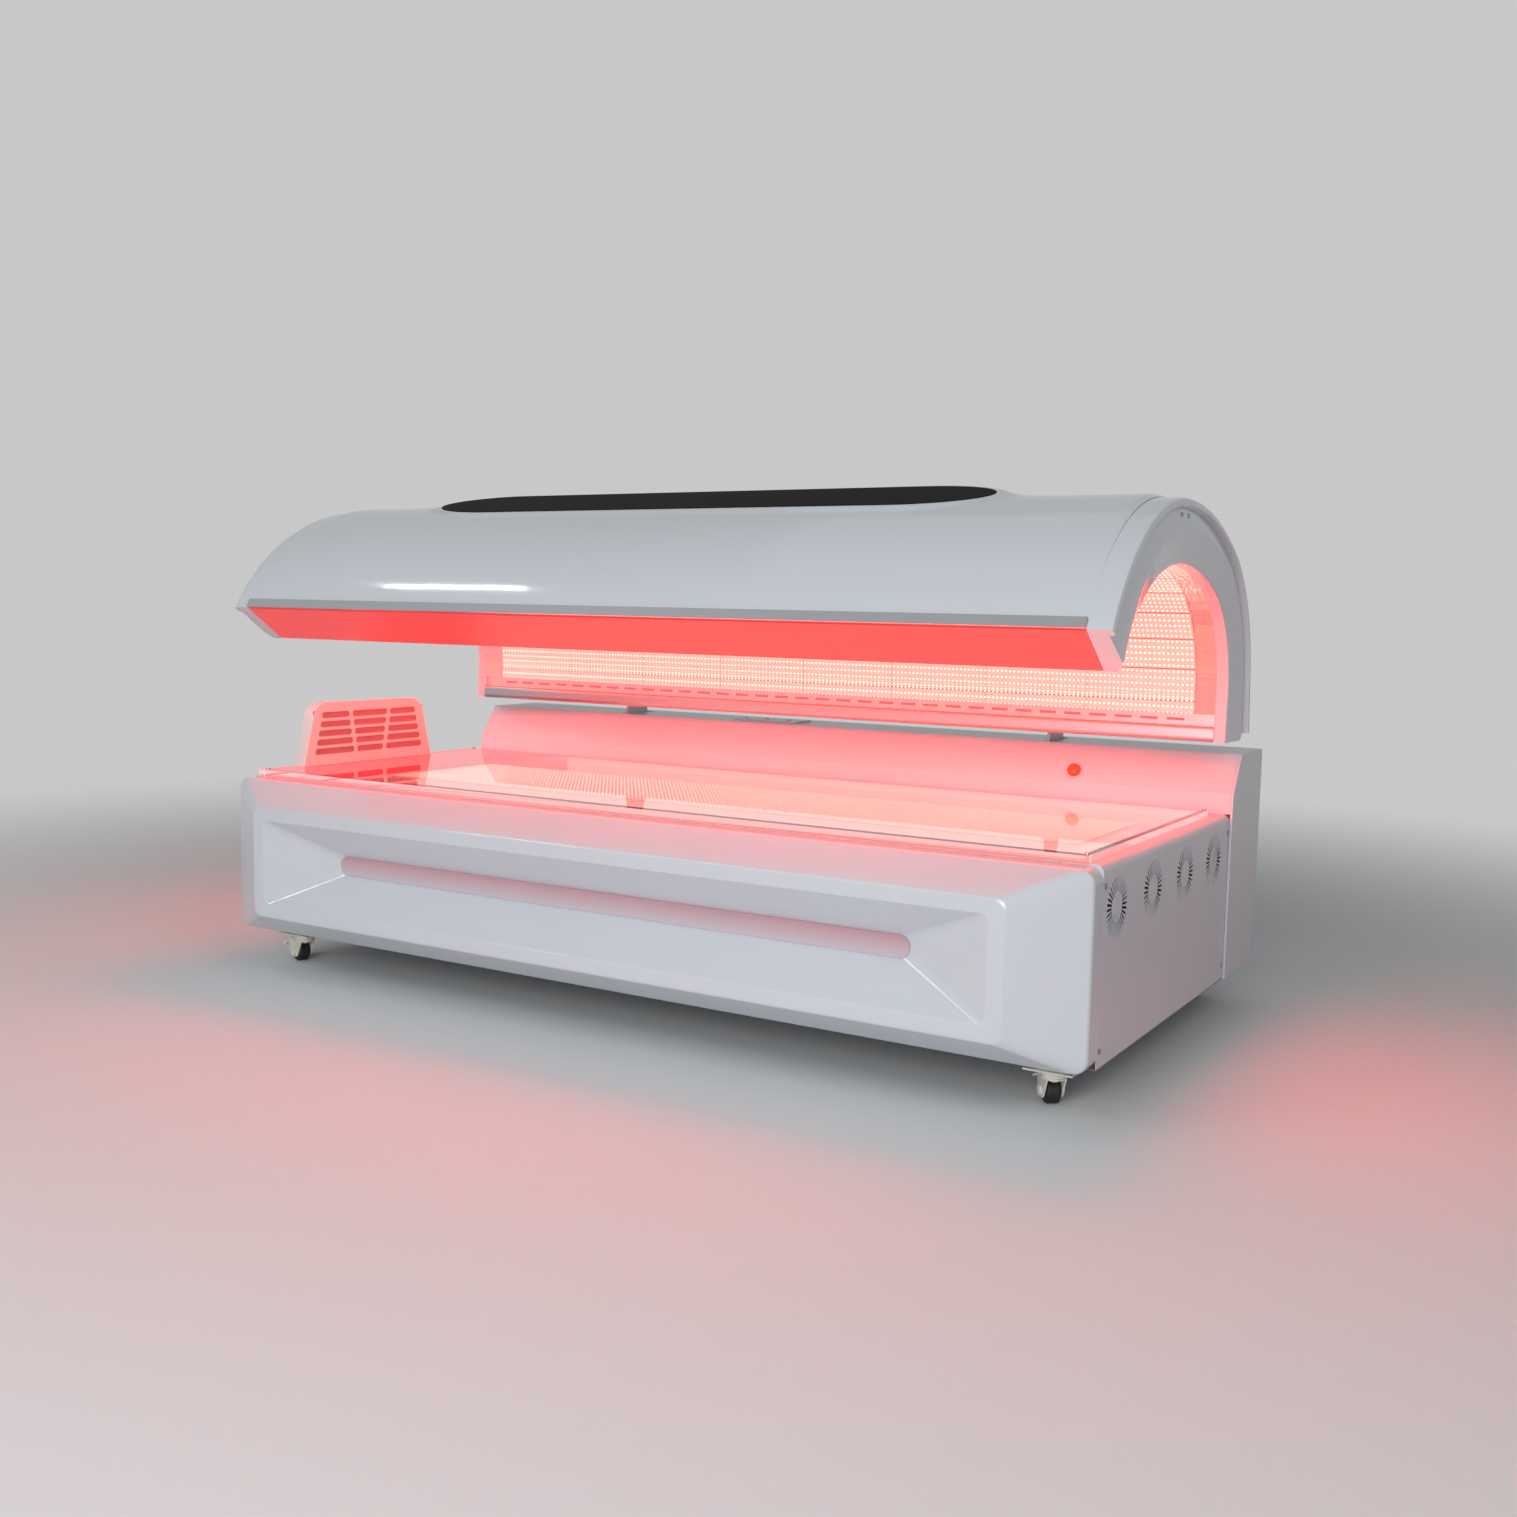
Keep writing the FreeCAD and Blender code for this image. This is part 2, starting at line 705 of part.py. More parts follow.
# leaning face of the column: unit run, outward normal, and the middle of the button
LEAN = vec(0, LEAN_RUN, COLUMN_RISE - KINK_RISE).normalize()
LEAN_OUT = vec(0, -LEAN.z, LEAN.y)
STOP_AT = vec(STOP_X, CABINET_DEPTH, KINK_Z) + LEAN * STOP_UP
SHOULDER_Y = TOP_Y - COVER_T / LEAN.z * LEAN.y


def column_front():
    inner = vec(0, CABINET_DEPTH, KINK_Z) - LEAN_OUT * COVER_T
    to_kink = (CABINET_DEPTH + COVER_T - inner.y) / LEAN.y
    to_top = (TOP_Z - COVER_T - inner.z) / LEAN.z
    points = [(CABINET_DEPTH, DECK_Z), (CABINET_DEPTH, KINK_Z), (SHOULDER_Y, TOP_Z - COVER_T)]
    points.append((inner.y + to_top * LEAN.y, TOP_Z - COVER_T))
    points.append((CABINET_DEPTH + COVER_T, inner.z + to_kink * LEAN.z))
    points.append((CABINET_DEPTH + COVER_T, DECK_Z))
    cover = plain(points, (-CABINET_HALF, CABINET_HALF))
    hole = rod(STOP_AT + LEAN_OUT, STOP_AT - LEAN_OUT * 2 * COVER_T, COLLAR_NECK_R + NEAR)
    return cover.cut(hole)


def column_ends():
    front = [(CABINET_DEPTH, PAN_Z), (CABINET_DEPTH, KINK_Z), (TOP_Y, TOP_Z)]
    points = front + [(BACK_Y, TOP_Z), (BACK_Y, PAN_Z)]
    radii = [0, END_KINK_R, END_CORNER_R, END_CORNER_R, 0]
    right = section(points, radii, (CABINET_HALF, CABINET_HALF + COLUMN_PROUD))
    return [mirrored(right), right]


def inlet_box(half_w, half_h, y):
    middle = PAN_Z + INLET_RISE
    return box((INLET_X - half_w, INLET_X + half_w), y, (middle - half_h, middle + half_h))


def column_back():
    sheet = box((-CABINET_HALF, CABINET_HALF), (BACK_Y - COVER_T, BACK_Y), (PAN_TOP, TOP_Z - COVER_T))
    return sheet.cut(inlet_box(INLET_HALF_W + NEAR, INLET_HALF_H + NEAR, (BACK_Y - COVER_T, BACK_Y)))


def mains_inlet():
    # socket for a plug, flush with the back panel, its lip behind the sheet
    body = inlet_box(INLET_HALF_W, INLET_HALF_H, (BACK_Y - INLET_DEEP, BACK_Y))
    behind = (BACK_Y - 2 * COVER_T, BACK_Y - COVER_T)
    lip = inlet_box(INLET_HALF_W + INLET_LIP, INLET_HALF_H + INLET_LIP, behind)
    floor = BACK_Y - SOCKET_DEEP
    room = inlet_box(SOCKET_HALF_W, SOCKET_HALF_H, (floor, BACK_Y))
    blades = []
    for across, up in ((-0.5, -0.25), (0.5, -0.25), (0, 0.35)):
        blade = box((-INLET_BLADE_T / 2, INLET_BLADE_T / 2), (floor - SINK, BACK_Y - COVER_T),
                    (-INLET_BLADE_H / 2, INLET_BLADE_H / 2))
        blade.translate(vec(INLET_X + across * SOCKET_HALF_W, 0, PAN_Z + INLET_RISE + up * SOCKET_HALF_H))
        blades.append(blade)
    return body.fuse(lip).cut(room).fuse(blades).removeSplitter()


def column_top():
    low = TOP_Z - COVER_T
    outline = [(SHOULDER_Y, low), (TOP_Y, TOP_Z), (BACK_Y, TOP_Z), (BACK_Y, low)]
    sheet = plain(outline, (-CABINET_HALF, CABINET_HALF))
    slots = []
    half = ARM_T / 2 + ARM_SLOT_GAP
    for x in (-ARM_X, ARM_X):
        deep = (HINGE_Y - ARM_SLOT_AHEAD, HINGE_Y + ARM_SLOT_BEHIND)
        slots.append(box((x - half, x + half), deep, (low, TOP_Z)))
    front = HINGE_Y - CABLE_AHEAD
    wide = (CABLE_X - CABLE_HALF, CABLE_X + CABLE_HALF)
    plate = [box(wide, (front, front + CABLE_W), (low, TOP_Z + CABLE_T))]
    for i in (-1, 0, 1):
        x = CABLE_X + i * CABLE_BOLT_PITCH
        y = front + 2 * CABLE_BOLT_R
        plate.append(rod(vec(x, y, TOP_Z), vec(x, y, TOP_Z + 2 * CABLE_T), CABLE_BOLT_R))
    return sheet.cut(slots).fuse(plate).removeSplitter()


def tube_pair(x, y, z, run):
    # outer and inner boxes of one square tube; run is the axis it follows
    spans = [x, y, z]
    inner = [(s[0] + TUBE_WALL, s[1] - TUBE_WALL) for s in spans]
    inner[run] = (spans[run][0] - 2 * TUBE_WALL, spans[run][1] + 2 * TUBE_WALL)
    return box(*spans), box(*inner)


def base_frame():
    low = (PAN_TOP, PAN_TOP + TUBE)
    high = (TRAY_Z - TUBE, TRAY_Z)
    front = (FRONT_RAIL_Y, FRONT_RAIL_Y + TUBE)
    middle = (CABINET_DEPTH - DECK_RAIL_GAP - TUBE, CABINET_DEPTH - DECK_RAIL_GAP)
    back = (BACK_RAIL_Y, BACK_RAIL_Y + TUBE)
    full = (-FRAME_HALF, FRAME_HALF)
    pairs = [tube_pair(full, front, low, 0), tube_pair(full, back, low, 0)]
    pairs += [tube_pair(full, front, high, 0), tube_pair(full, middle, high, 0)]
    pairs.append(tube_pair(full, back, (BEAM_Z, BEAM_Z + TUBE), 0))
    for mid in (TUBE / 2 - FRAME_HALF, -MID_TUBE_X, MID_TUBE_X, FRAME_HALF - TUBE / 2):
        x = (mid - TUBE / 2, mid + TUBE / 2)
        pairs.append(tube_pair(x, (front[1], back[0]), low, 1))
        pairs.append(tube_pair(x, front, (low[1], high[0]), 2))
        pairs.append(tube_pair(x, middle, (low[1], high[0]), 2))
        pairs.append(tube_pair(x, back, (low[1], BEAM_Z), 2))
    outer = joined([p[0] for p in pairs])
    return outer.cut([p[1] for p in pairs])


def power_supplies():
    units = []
    for x in SUPPLY_XS:
        units.append(box((x, x + SUPPLY_W), (SUPPLY_Y, SUPPLY_Y + SUPPLY_L), (PAN_TOP, PAN_TOP + SUPPLY_H)))
    return units


def control_box():
    case = box((CONTROL_X - CONTROL_L / 2, CONTROL_X + CONTROL_L / 2),
               (CONTROL_Y - CONTROL_W / 2, CONTROL_Y + CONTROL_W / 2), (PAN_TOP, PAN_TOP + CONTROL_H))
    upright = [e for e in case.Edges if abs(e.tangentAt(e.FirstParameter).z) > 0.9]
    return case.makeFillet(CONTROL_R, upright)


def axial_fan(face_x, y, z, size, depth, bore_r, hub_r, chord):
    # square frame with hub and pin, and its rotor; the open face looks along +X at face_x
    back = face_x - depth
    frame = box((back, face_x), (y - size / 2, y + size / 2), (z - size / 2, z + size / 2))
    frame = frame.cut(disc_x((back, face_x), y, z, bore_r))
    plate = (back, back + FAN_PLATE_T)
    pieces = [frame, disc_x(plate, y, z, hub_r)]
    for k in range(4):
        arm = box(plate, (-FAN_ARM_W / 2, FAN_ARM_W / 2), (0, bore_r + SINK))
        arm.rotate(vec(0, 0, 0), vec(1, 0, 0), 45 + 90 * k)
        arm.translate(vec(0, y, z))
        pieces.append(arm)
    pieces.append(disc_x((back + FAN_PLATE_T / 2, face_x - FAN_PLATE_T), y, z, FAN_PIN_R))
    span = (back + FAN_PLATE_T + FAN_CLEAR, face_x - FAN_PLATE_T + FAN_CLEAR)
    rotor = [disc_x(span, y, z, hub_r)]
    pitch = math.degrees(math.asin(0.85 * (span[1] - span[0]) / chord))
    for k in range(FAN_BLADES):
        blade = box((-FAN_BLADE_T / 2, FAN_BLADE_T / 2), (-chord / 2, chord / 2),
                    (hub_r - FAN_BLADE_ROOT, bore_r - FAN_CLEAR))
        blade.rotate(vec(0, 0, 0), vec(0, 0, 1), pitch)
        blade.rotate(vec(0, 0, 0), vec(1, 0, 0), 360.0 * k / FAN_BLADES)
        blade.translate(vec((span[0] + span[1]) / 2, y, z))
        rotor.append(blade)
    hole = disc_x((span[0], face_x - FAN_PLATE_T + NEAR), y, z, FAN_PIN_R + RUN)
    # blades stay clear of the frame's rim and corners
    swept = disc_x((back, face_x), y, z, bore_r - FAN_CLEAR / 2)
    return joined(pieces), joined(rotor).common(swept).cut(hole)


def head_outline(inset, low):
    # outline of the face fan housing, drawn in by a wall and ended at a level
    slope = (HEAD_LOW_HALF - HEAD_TOP_HALF) / HEAD_H
    top = DECK_TOP + HEAD_H - inset
    top_half = HEAD_TOP_HALF + inset * slope - inset
    low_half = top_half + (top - low) * slope
    return [(HEAD_MID - low_half, low), (HEAD_MID - top_half, top),
            (HEAD_MID + top_half, top), (HEAD_MID + low_half, low)]


def face_fan_housing():
    # hollow cover, open below, with the same slots in its front and its back
    through = (HEAD_X - HEAD_DEPTH, HEAD_X)
    body = section(head_outline(0, DECK_TOP), [0, HEAD_CORNER_R, HEAD_CORNER_R, 0], through)
    room_r = HEAD_CORNER_R - HEAD_WALL
    room = section(head_outline(HEAD_WALL, DECK_TOP - SINK), [0, room_r, room_r, 0],
                   (through[0] + HEAD_WALL, through[1] - HEAD_WALL))
    cuts = [room]
    slope = (HEAD_LOW_HALF - HEAD_TOP_HALF) / HEAD_H
    gap = GRILLE_BAR / 2
    for row in range(GRILLE_ROWS):
        levels = [row * GRILLE_PITCH, row * GRILLE_PITCH + GRILLE_H]
        sides = [HEAD_LOW_HALF - GRILLE_MARGIN - (GRILLE_RISE + up) * slope for up in levels]
        bars = [GRILLE_MID + up * GRILLE_LEAN for up in levels]
        columns = [(-sides[0], -sides[1], -bars[1] - gap, -bars[0] - gap)]
        columns.append((gap - bars[0], gap - bars[1], bars[1] - gap, bars[0] - gap))
        columns.append((bars[0] + gap, bars[1] + gap, sides[1], sides[0]))
        low, high = [DECK_TOP + GRILLE_RISE + up for up in levels]
        for places in columns:
            outline = list(zip([HEAD_MID + place for place in places], (low, high, high, low)))
            cuts.append(section(outline, [GRILLE_R] * 4, through))
    return body.cut(cuts)


def stop_parts():
    def along(first, last, radius):
        return rod(STOP_AT + LEAN_OUT * first, STOP_AT + LEAN_OUT * last, radius)

    neck = along(-COLLAR_DEEP, SINK, COLLAR_NECK_R)
    collar = joined([along(0, COLLAR_T, STOP_HEAD_R + COLLAR_RIM), neck])
    collar = collar.cut(along(-COLLAR_DEEP, COLLAR_T, STOP_STEM_R + RUN))
    low = COLLAR_T + STOP_TRAVEL + SEAM
    head = along(low, low + STOP_HEAD_T, STOP_HEAD_R)
    rim = [e for e in head.Edges if e.Closed and (e.CenterOfMass - STOP_AT).dot(LEAN_OUT) > low + SINK]
    head = head.makeFillet(STOP_CROWN_R, rim)
    button = joined([head, along(STOP_TRAVEL - COLLAR_DEEP, low + SINK, STOP_STEM_R)])
    return collar, button


def caster_plate():
    # riser block, plate, ball race and king pin; they stay with the cabinet
    seat = PAN_Z - RISER_H
    top = seat - PLATE_T
    pieces = [box((-PLATE_HALF_X, PLATE_HALF_X), (-PLATE_HALF_Y, PLATE_HALF_Y), (top, seat))]
    pieces.append(box((-RISER_HALF, RISER_HALF), (-RISER_HALF, RISER_HALF), (seat - SINK, PAN_Z)))
    pieces.append(rod(vec(0, 0, CROWN_Z + CROWN_T + NEAR), vec(0, 0, top + SINK), RACE_R))
    low = CROWN_Z - KING_HEAD_T
    pieces.append(rod(vec(0, 0, low), vec(0, 0, top), AXLE_R))
    pieces.append(rod(vec(0, 0, low), vec(0, 0, CROWN_Z - NEAR), KING_HEAD_R))
    return joined(pieces)


PEDAL_U = TRAIL + PEDAL_OUT
PEDAL_Z = WHEEL_R + PEDAL_RISE
LEG_IN = WHEEL_HALF_W + LEG_GAP
LEG_OUT = LEG_IN + LEG_T


def bar_y(half, u, z, radius):
    # round bar across a caster, along its axle
    return rod(vec(u, -half, z), vec(u, half, z), radius)


def caster_fork():
    # crown, two legs and the axle; local X is the trailing way, local Y the axle
    top = CROWN_Z + CROWN_T
    pieces = [rod(vec(0, 0, CROWN_Z), vec(0, 0, top), RACE_R)]
    pieces.append(box((0, TRAIL + CROWN_REACH), (-LEG_OUT, LEG_OUT), (CROWN_Z, top)))
    ear = PEDAL_U + PEDAL_PIN_R + EAR
    foot = WHEEL_R - LEG_FOOT
    outline = [(LEG_TOP_IN - RACE_R, top), (TRAIL - LEG_FOOT, foot), (TRAIL + LEG_FOOT, foot)]
    outline += [(ear, PEDAL_Z - PEDAL_PIN_R - EAR), (ear, top)]
    for y in (-LEG_OUT, LEG_IN):
        corners = [vec(u, y, z) for u, z in outline]
        leg = Part.Face(rounded(corners, [LEG_T, LEG_FOOT - SINK, LEG_FOOT - SINK, LEG_T, LEG_T]))
        pieces.append(leg.extrude(vec(0, LEG_T, 0)))
    pieces.append(bar_y(LEG_OUT + AXLE_NUT_T, TRAIL, WHEEL_R, AXLE_R))
    nuts = bar_y(LEG_OUT + AXLE_NUT_T, TRAIL, WHEEL_R, AXLE_NUT_R)
    pieces.append(nuts.cut(bar_y(LEG_IN, TRAIL, WHEEL_R, AXLE_NUT_R)))
    fork = joined(pieces)
    king = rod(vec(0, 0, CROWN_Z), vec(0, 0, top), AXLE_R + RUN)
    return fork.cut([king, bar_y(LEG_OUT, PEDAL_U, PEDAL_Z, PEDAL_PIN_R + RUN)])


def caster_wheel():
    half = WHEEL_HALF_W
    wheel = bar_y(half, TRAIL, WHEEL_R, WHEEL_R)
    wheel = wheel.makeFillet(WHEEL_EDGE_R, [e for e in wheel.Edges if e.Closed])
    core = bar_y(half - WHEEL_DISH, TRAIL, WHEEL_R, WHEEL_DISH_R)
    dish = bar_y(half, TRAIL, WHEEL_R, WHEEL_DISH_R).cut(core)
    dish = dish.cut(bar_y(half, TRAIL, WHEEL_R, WHEEL_BOSS_R))
    return wheel.cut([dish, bar_y(half, TRAIL, WHEEL_R, AXLE_R + RUN)])


def caster_pedal():
    # toe lever past the wheel, dipped, on a pin through both legs
    inner = LEG_IN - SEAM
    level = (PEDAL_Z - PEDAL_T / 2, PEDAL_Z + PEDAL_T / 2)
    pin = bar_y(LEG_OUT + SINK, PEDAL_U, PEDAL_Z, PEDAL_PIN_R)
    pieces = [pin, bar_y(inner, PEDAL_U, PEDAL_Z, PEDAL_PIN_R + PEDAL_SLEEVE)]
    neck = PEDAL_U + PEDAL_PIN_R + PEDAL_NECK
    pieces.append(box((PEDAL_U, neck + 2 * SINK), (-inner, inner), level))
    tread = box((neck, PEDAL_U + PEDAL_LEN), (-PEDAL_HALF_W, PEDAL_HALF_W), level)
    pieces.append(tread.makeFillet(PEDAL_T / 2 - SEAM, tread.Edges))
    pedal = joined(pieces)
    pedal.rotate(vec(PEDAL_U, 0, PEDAL_Z), vec(0, 1, 0), PEDAL_DIP)
    return pedal


def hinge_blocks():
    # two cheeks on a foot for each arm, and the pin through them
    blocks = []
    base = BEAM_Z + TUBE
    inner = ARM_T / 2 + ARM_GAP
    outer = inner + CHEEK_T
    rail = (BACK_RAIL_Y, BACK_RAIL_Y + TUBE)
    lean = CHEEK_R * 0.7
    crest = [(HINGE_Y + lean, HINGE_Z + lean), (HINGE_Y - lean, HINGE_Z - lean)]
    cheek = [(rail[0], base), (rail[1], base)] + crest
    for x in (-ARM_X, ARM_X):
        pieces = [box((x - outer, x + outer), rail, (base, base + FOOT_T))]
        for span in ((x - outer, x - inner), (x + inner, x + outer)):
            pieces.append(plain(cheek, span))
            pieces.append(disc_x(span, HINGE_Y, HINGE_Z, CHEEK_R))
        pin = disc_x((x - outer - PIN_END, x + outer + PIN_END), HINGE_Y, HINGE_Z, PIN_R)
        blocks += [joined(pieces).cut(pin), pin]
    return blocks


def hinge_arms():
    # web with a boss on the pin, a flange on the shell's back wall and a lever below
    turn = math.radians(90 - SHOULDER_TURN)
    up = vec(0, -math.sin(turn), math.cos(turn))
    away = vec(0, math.cos(turn), math.sin(turn))
    face = vec(0, shell_arch.wall_y(SHELL_FOOT, 0), SHELL_FOOT) + away * NEAR

    def on_wall(rise, out):
        place = face + up * rise + away * out
        return (place.y, place.z)

    thick = ARM_FLANGE_T
    high = thick + ARM_FLANGE_H
    flange = [on_wall(thick, 0), on_wall(high, 0), on_wall(high, thick), on_wall(thick, thick)]
    web = [(HINGE_Y - 0.8 * ARM_BOSS_R, HINGE_Z - 0.5 * ARM_BOSS_R)]
    web += [(HINGE_Y - ARM_WAIST_AHEAD, HINGE_Z + ARM_WAIST_RISE), on_wall(-thick, 1.5 * thick)]
    web += [on_wall(thick, thick / 2), on_wall(high, thick / 2), on_wall(high, ARM_WEB)]
    web += [(HINGE_Y + ARM_BACK, HINGE_Z + HINGE_DROP + 2 * thick), (HINGE_Y + ARM_BOSS_R, HINGE_Z)]
    wide = vec(0, LEVER_DROP, -LEVER_AHEAD).normalize() * LEVER_R
    lever = [(HINGE_Y + wide.y, HINGE_Z + wide.z), (LEVER_Y + wide.y, LEVER_Z + wide.z)]
    lever += [(LEVER_Y - wide.y, LEVER_Z - wide.z), (HINGE_Y - wide.y, HINGE_Z - wide.z)]
    arms = []
    for x in (-ARM_X, ARM_X):
        span = (x - ARM_T / 2, x + ARM_T / 2)
        pieces = [plain(web, span), disc_x(span, HINGE_Y, HINGE_Z, ARM_BOSS_R), plain(lever, span)]
        pieces.append(disc_x(span, LEVER_Y, LEVER_Z, LEVER_R))
        pieces.append(plain(flange, (x - ARM_FLANGE_HALF, x + ARM_FLANGE_HALF)))
        bore = disc_x(span, HINGE_Y, HINGE_Z, PIN_R + RUN)
        arms.append(joined(pieces).cut([bore, disc_x(span, LEVER_Y, LEVER_Z, LEVER_HOLE_R)]))
    return arms


def strut_parts():
    # brackets on the rear rail, cylinders and rods; one strut beside each arm
    foot = vec(0, STRUT_Y, STRUT_Z)
    axis = vec(0, LEVER_Y, LEVER_Z) - foot
    length = axis.Length
    axis.normalize()
    base = STRUT_Z - STRUT_RISE
    brackets = []
    cylinders = []
    rods = []
    for side in (-1, 1):
        x = side * STRUT_X

        def along(first, last, radius):
            return rod(vec(x, 0, 0) + foot + axis * first, vec(x, 0, 0) + foot + axis * last, radius)

        inner = STRUT_EYE_HALF + ARM_GAP
        outer = inner + BRACKET_T
        pieces = [box((x - outer, x + outer), (BACK_RAIL_Y, BACK_RAIL_Y + TUBE), (base, base + BRACKET_T))]
        for cheek in ((x - outer, x - inner), (x + inner, x + outer)):
            deep = (STRUT_Y - STRUT_EYE_R, STRUT_Y + STRUT_EYE_R)
            pieces.append(box(cheek, deep, (base, STRUT_Z + STRUT_EYE_R)))
        pieces.append(disc_x((x - outer, x + outer), STRUT_Y, STRUT_Z, STRUT_PIN_R))
        brackets.append(joined(pieces))
        eye = (x - STRUT_EYE_HALF, x + STRUT_EYE_HALF)
        neck = along(STRUT_PIN_R + CYLINDER_WALL, CYLINDER_START + SINK, NECK_R)
        tube = along(CYLINDER_START, CYLINDER_END, CYLINDER_R)
        body = joined([disc_x(eye, STRUT_Y, STRUT_Z, STRUT_EYE_R), neck, tube])
        bore_r = CYLINDER_R - CYLINDER_WALL
        body = body.cut(along(CYLINDER_START + 2 * CYLINDER_WALL, CYLINDER_END - GLAND_T, bore_r))
        body = body.cut(along(CYLINDER_END - GLAND_T - SINK, CYLINDER_END, ROD_R + RUN))
        cylinders.append(body.cut(disc_x(eye, STRUT_Y, STRUT_Z, STRUT_PIN_R + RUN)))
        pin_end = side * (ARM_X + ARM_T)
        pin = disc_x(sorted((x, pin_end)), LEVER_Y, LEVER_Z, STRUT_PIN_R)
        piston = along(PISTON_AT, PISTON_AT + PISTON_T, bore_r - RUN)
        shaft = along(PISTON_AT, length, ROD_R)
        rods.append(joined([piston, shaft, disc_x(eye, LEVER_Y, LEVER_Z, STRUT_EYE_R), pin]))
    return brackets, cylinders, rods


def cabinet_screws():
    screws = []
    for y, z in side_screw_places():
        shank = disc_x((CABINET_HALF - 3 * SIDE_T, CABINET_HALF + SINK), y, z, SCREW_R)
        head = disc_x((CABINET_HALF, CABINET_HALF + SCREW_HEAD_T), y, z, SCREW_HEAD_R)
        right = joined([shank, head])
        screws += [right, mirrored(right)]
    for x, y in deck_screw_places():
        shank = rod(vec(x, y, DECK_Z - BORDER_T), vec(x, y, DECK_TOP + SINK), SCREW_R)
        head = rod(vec(x, y, DECK_TOP), vec(x, y, DECK_TOP + SCREW_HEAD_T), SCREW_HEAD_R)
        screws.append(joined([shank, head]))
    return screws


def glass_wire(end, half_w, shift, level):
    # long outline with half-ellipse ends, laid on the display's tilted plane
    low = shift - half_w
    high = shift + half_w
    flat = GLASS_FLAT
    edges = [Part.LineSegment(vec(-flat, low, level), vec(flat, low, level)).toShape()]
    right = Part.Ellipse(vec(flat, shift, level), end, half_w)
    edges.append(Part.Arc(right, -math.pi / 2, math.pi / 2).toShape())
    edges.append(Part.LineSegment(vec(flat, high, level), vec(-flat, high, level)).toShape())
    left = Part.Ellipse(vec(-flat, shift, level), end, half_w)
    edges.append(Part.Arc(left, math.pi / 2, 3 * math.pi / 2).toShape())
    wire = Part.Wire(edges)
    wire.rotate(vec(0, 0, 0), vec(1, 0, 0), GLASS_TILT)
    wire.translate(vec(0, HINGE_Y - GLASS_AHEAD, HINGE_Z + GLASS_RISE))
    return wire


def glass_plate(grow, top):
    # plate of the display's outline from its underside up to a level
    tilt = math.radians(GLASS_TILT)
    out = vec(0, -math.sin(tilt), math.cos(tilt))
    wire = glass_wire(GLASS_END + grow, GLASS_HALF_W + grow, 0, -GLASS_T)
    return Part.Face(wire).extrude(out * (GLASS_T + top))


def mound(inset, top):
    # raised mound under the display, its flanks running out into the shell
    end = GLASS_END + MOUND_RIM - inset
    half_w = GLASS_HALF_W + MOUND_RIM - inset
    base_w = half_w + (MOUND_FRONT + MOUND_BACK) / 2
    shift = (MOUND_BACK - MOUND_FRONT) / 2
    wires = [glass_wire(end, half_w, 0, top), glass_wire(end + MOUND_ENDS, base_w, shift, -MOUND_DEEP)]
    return Part.makeLoft(wires, True, True)


def canopy_shell():
    half = SEAM_X - SEAM
    edges = shell_arch.edges(-half, 0, 0, SHELL_FOOT)
    outer = Part.Face(closed(edges, [])).extrude(vec(2 * half, 0, 0))
    rims = []
    for edge in outer.Edges:
        ends = [v.Point for v in edge.Vertexes]
        if abs(ends[0].x - ends[1].x) < 0.01 and edge.Curve.TypeId != "Part::GeomLine":
            rims.append(edge)
    outer = outer.makeFillet(SHELL_EDGE_R, rims).fuse(mound(0, 0))
    room = Part.Face(under(shell_arch.edges(-half, -SHELL_T, 0, SHELL_FOOT - SINK)))
    inner = room.extrude(vec(2 * half, 0, 0)).fuse(mound(SHELL_T, -GLASS_T - SHELL_T))
    return outer.cut(inner).cut(glass_plate(NEAR, MOUND_RIM)).removeSplitter()


def right_cap():
    # hollow ring with a rounded rim, a sunk band and a chamfer down to the inner arch
    corner = vec(SEAM_X, CORNER[0], CORNER[1])
    outer = cap_arch.edges(SEAM_X, 0, 0, SHELL_FOOT)
    inner = inner_arch.edges(SEAM_X, 0, 0, INNER_FOOT)
    cap = between(outer, inner, [corner], CAP_W)
    rims = []
    for edge in cap.Edges:
        ends = [v.Point for v in edge.Vertexes]
        on_end = min(ends[0].x, ends[1].x) > CANOPY_HALF - 0.01
        if on_end and edge.Curve.TypeId != "Part::GeomLine" and edge.Curve.Radius > SHOULDER_R - SINK:
            middle = edge.valueAt((edge.FirstParameter + edge.LastParameter) / 2)
            over = middle.z > INNER_APEX[1] + LIP_W
            if over or middle.y < TIP[0] or middle.y > cap_arch.crown_mid[0] + CROWN_R / 2:
                rims.append(edge)
    cap = cap.makeFillet(CAP_RIM_R, rims)
    band = Part.Face(under(cap_arch.edges(BAND_X, -CAP_RIM_W, 0, SHELL_FOOT))).extrude(vec(CAP_W, 0, 0))
    lip_wire = under(lip_arch.edges(BAND_X, 0, 0, INNER_FOOT))
    wires = [lip_wire, under(inner_arch.edges(FUNNEL_X, 0, 0, INNER_FOOT))]
    funnel = Part.makeLoft(wires, True, True)
    hollow_out = cap_arch.edges(SEAM_X, -SHELL_T, 3 * SHELL_T, SHELL_FOOT + SHELL_T)
    hollow_in = inner_arch.edges(SEAM_X, SHELL_T, 3 * SHELL_T, SHELL_FOOT + SHELL_T)
    hollow = between(hollow_out, hollow_in, [], FUNNEL_X - SEAM_X - SHELL_T)
    return cap.cut([band, funnel, hollow])


def front_trim():
    back = vec(0, math.sin(trim_turn), -math.cos(trim_turn)) * SHELL_T
    points = [CORNER, SHELL_START, (SHELL_START[0] + back.y, SHELL_START[1] + back.z)]
    points.append((CORNER[0] + back.y, CORNER[1] + back.z))
    return plain(points, (SEAM - SEAM_X, SEAM_X - SEAM))


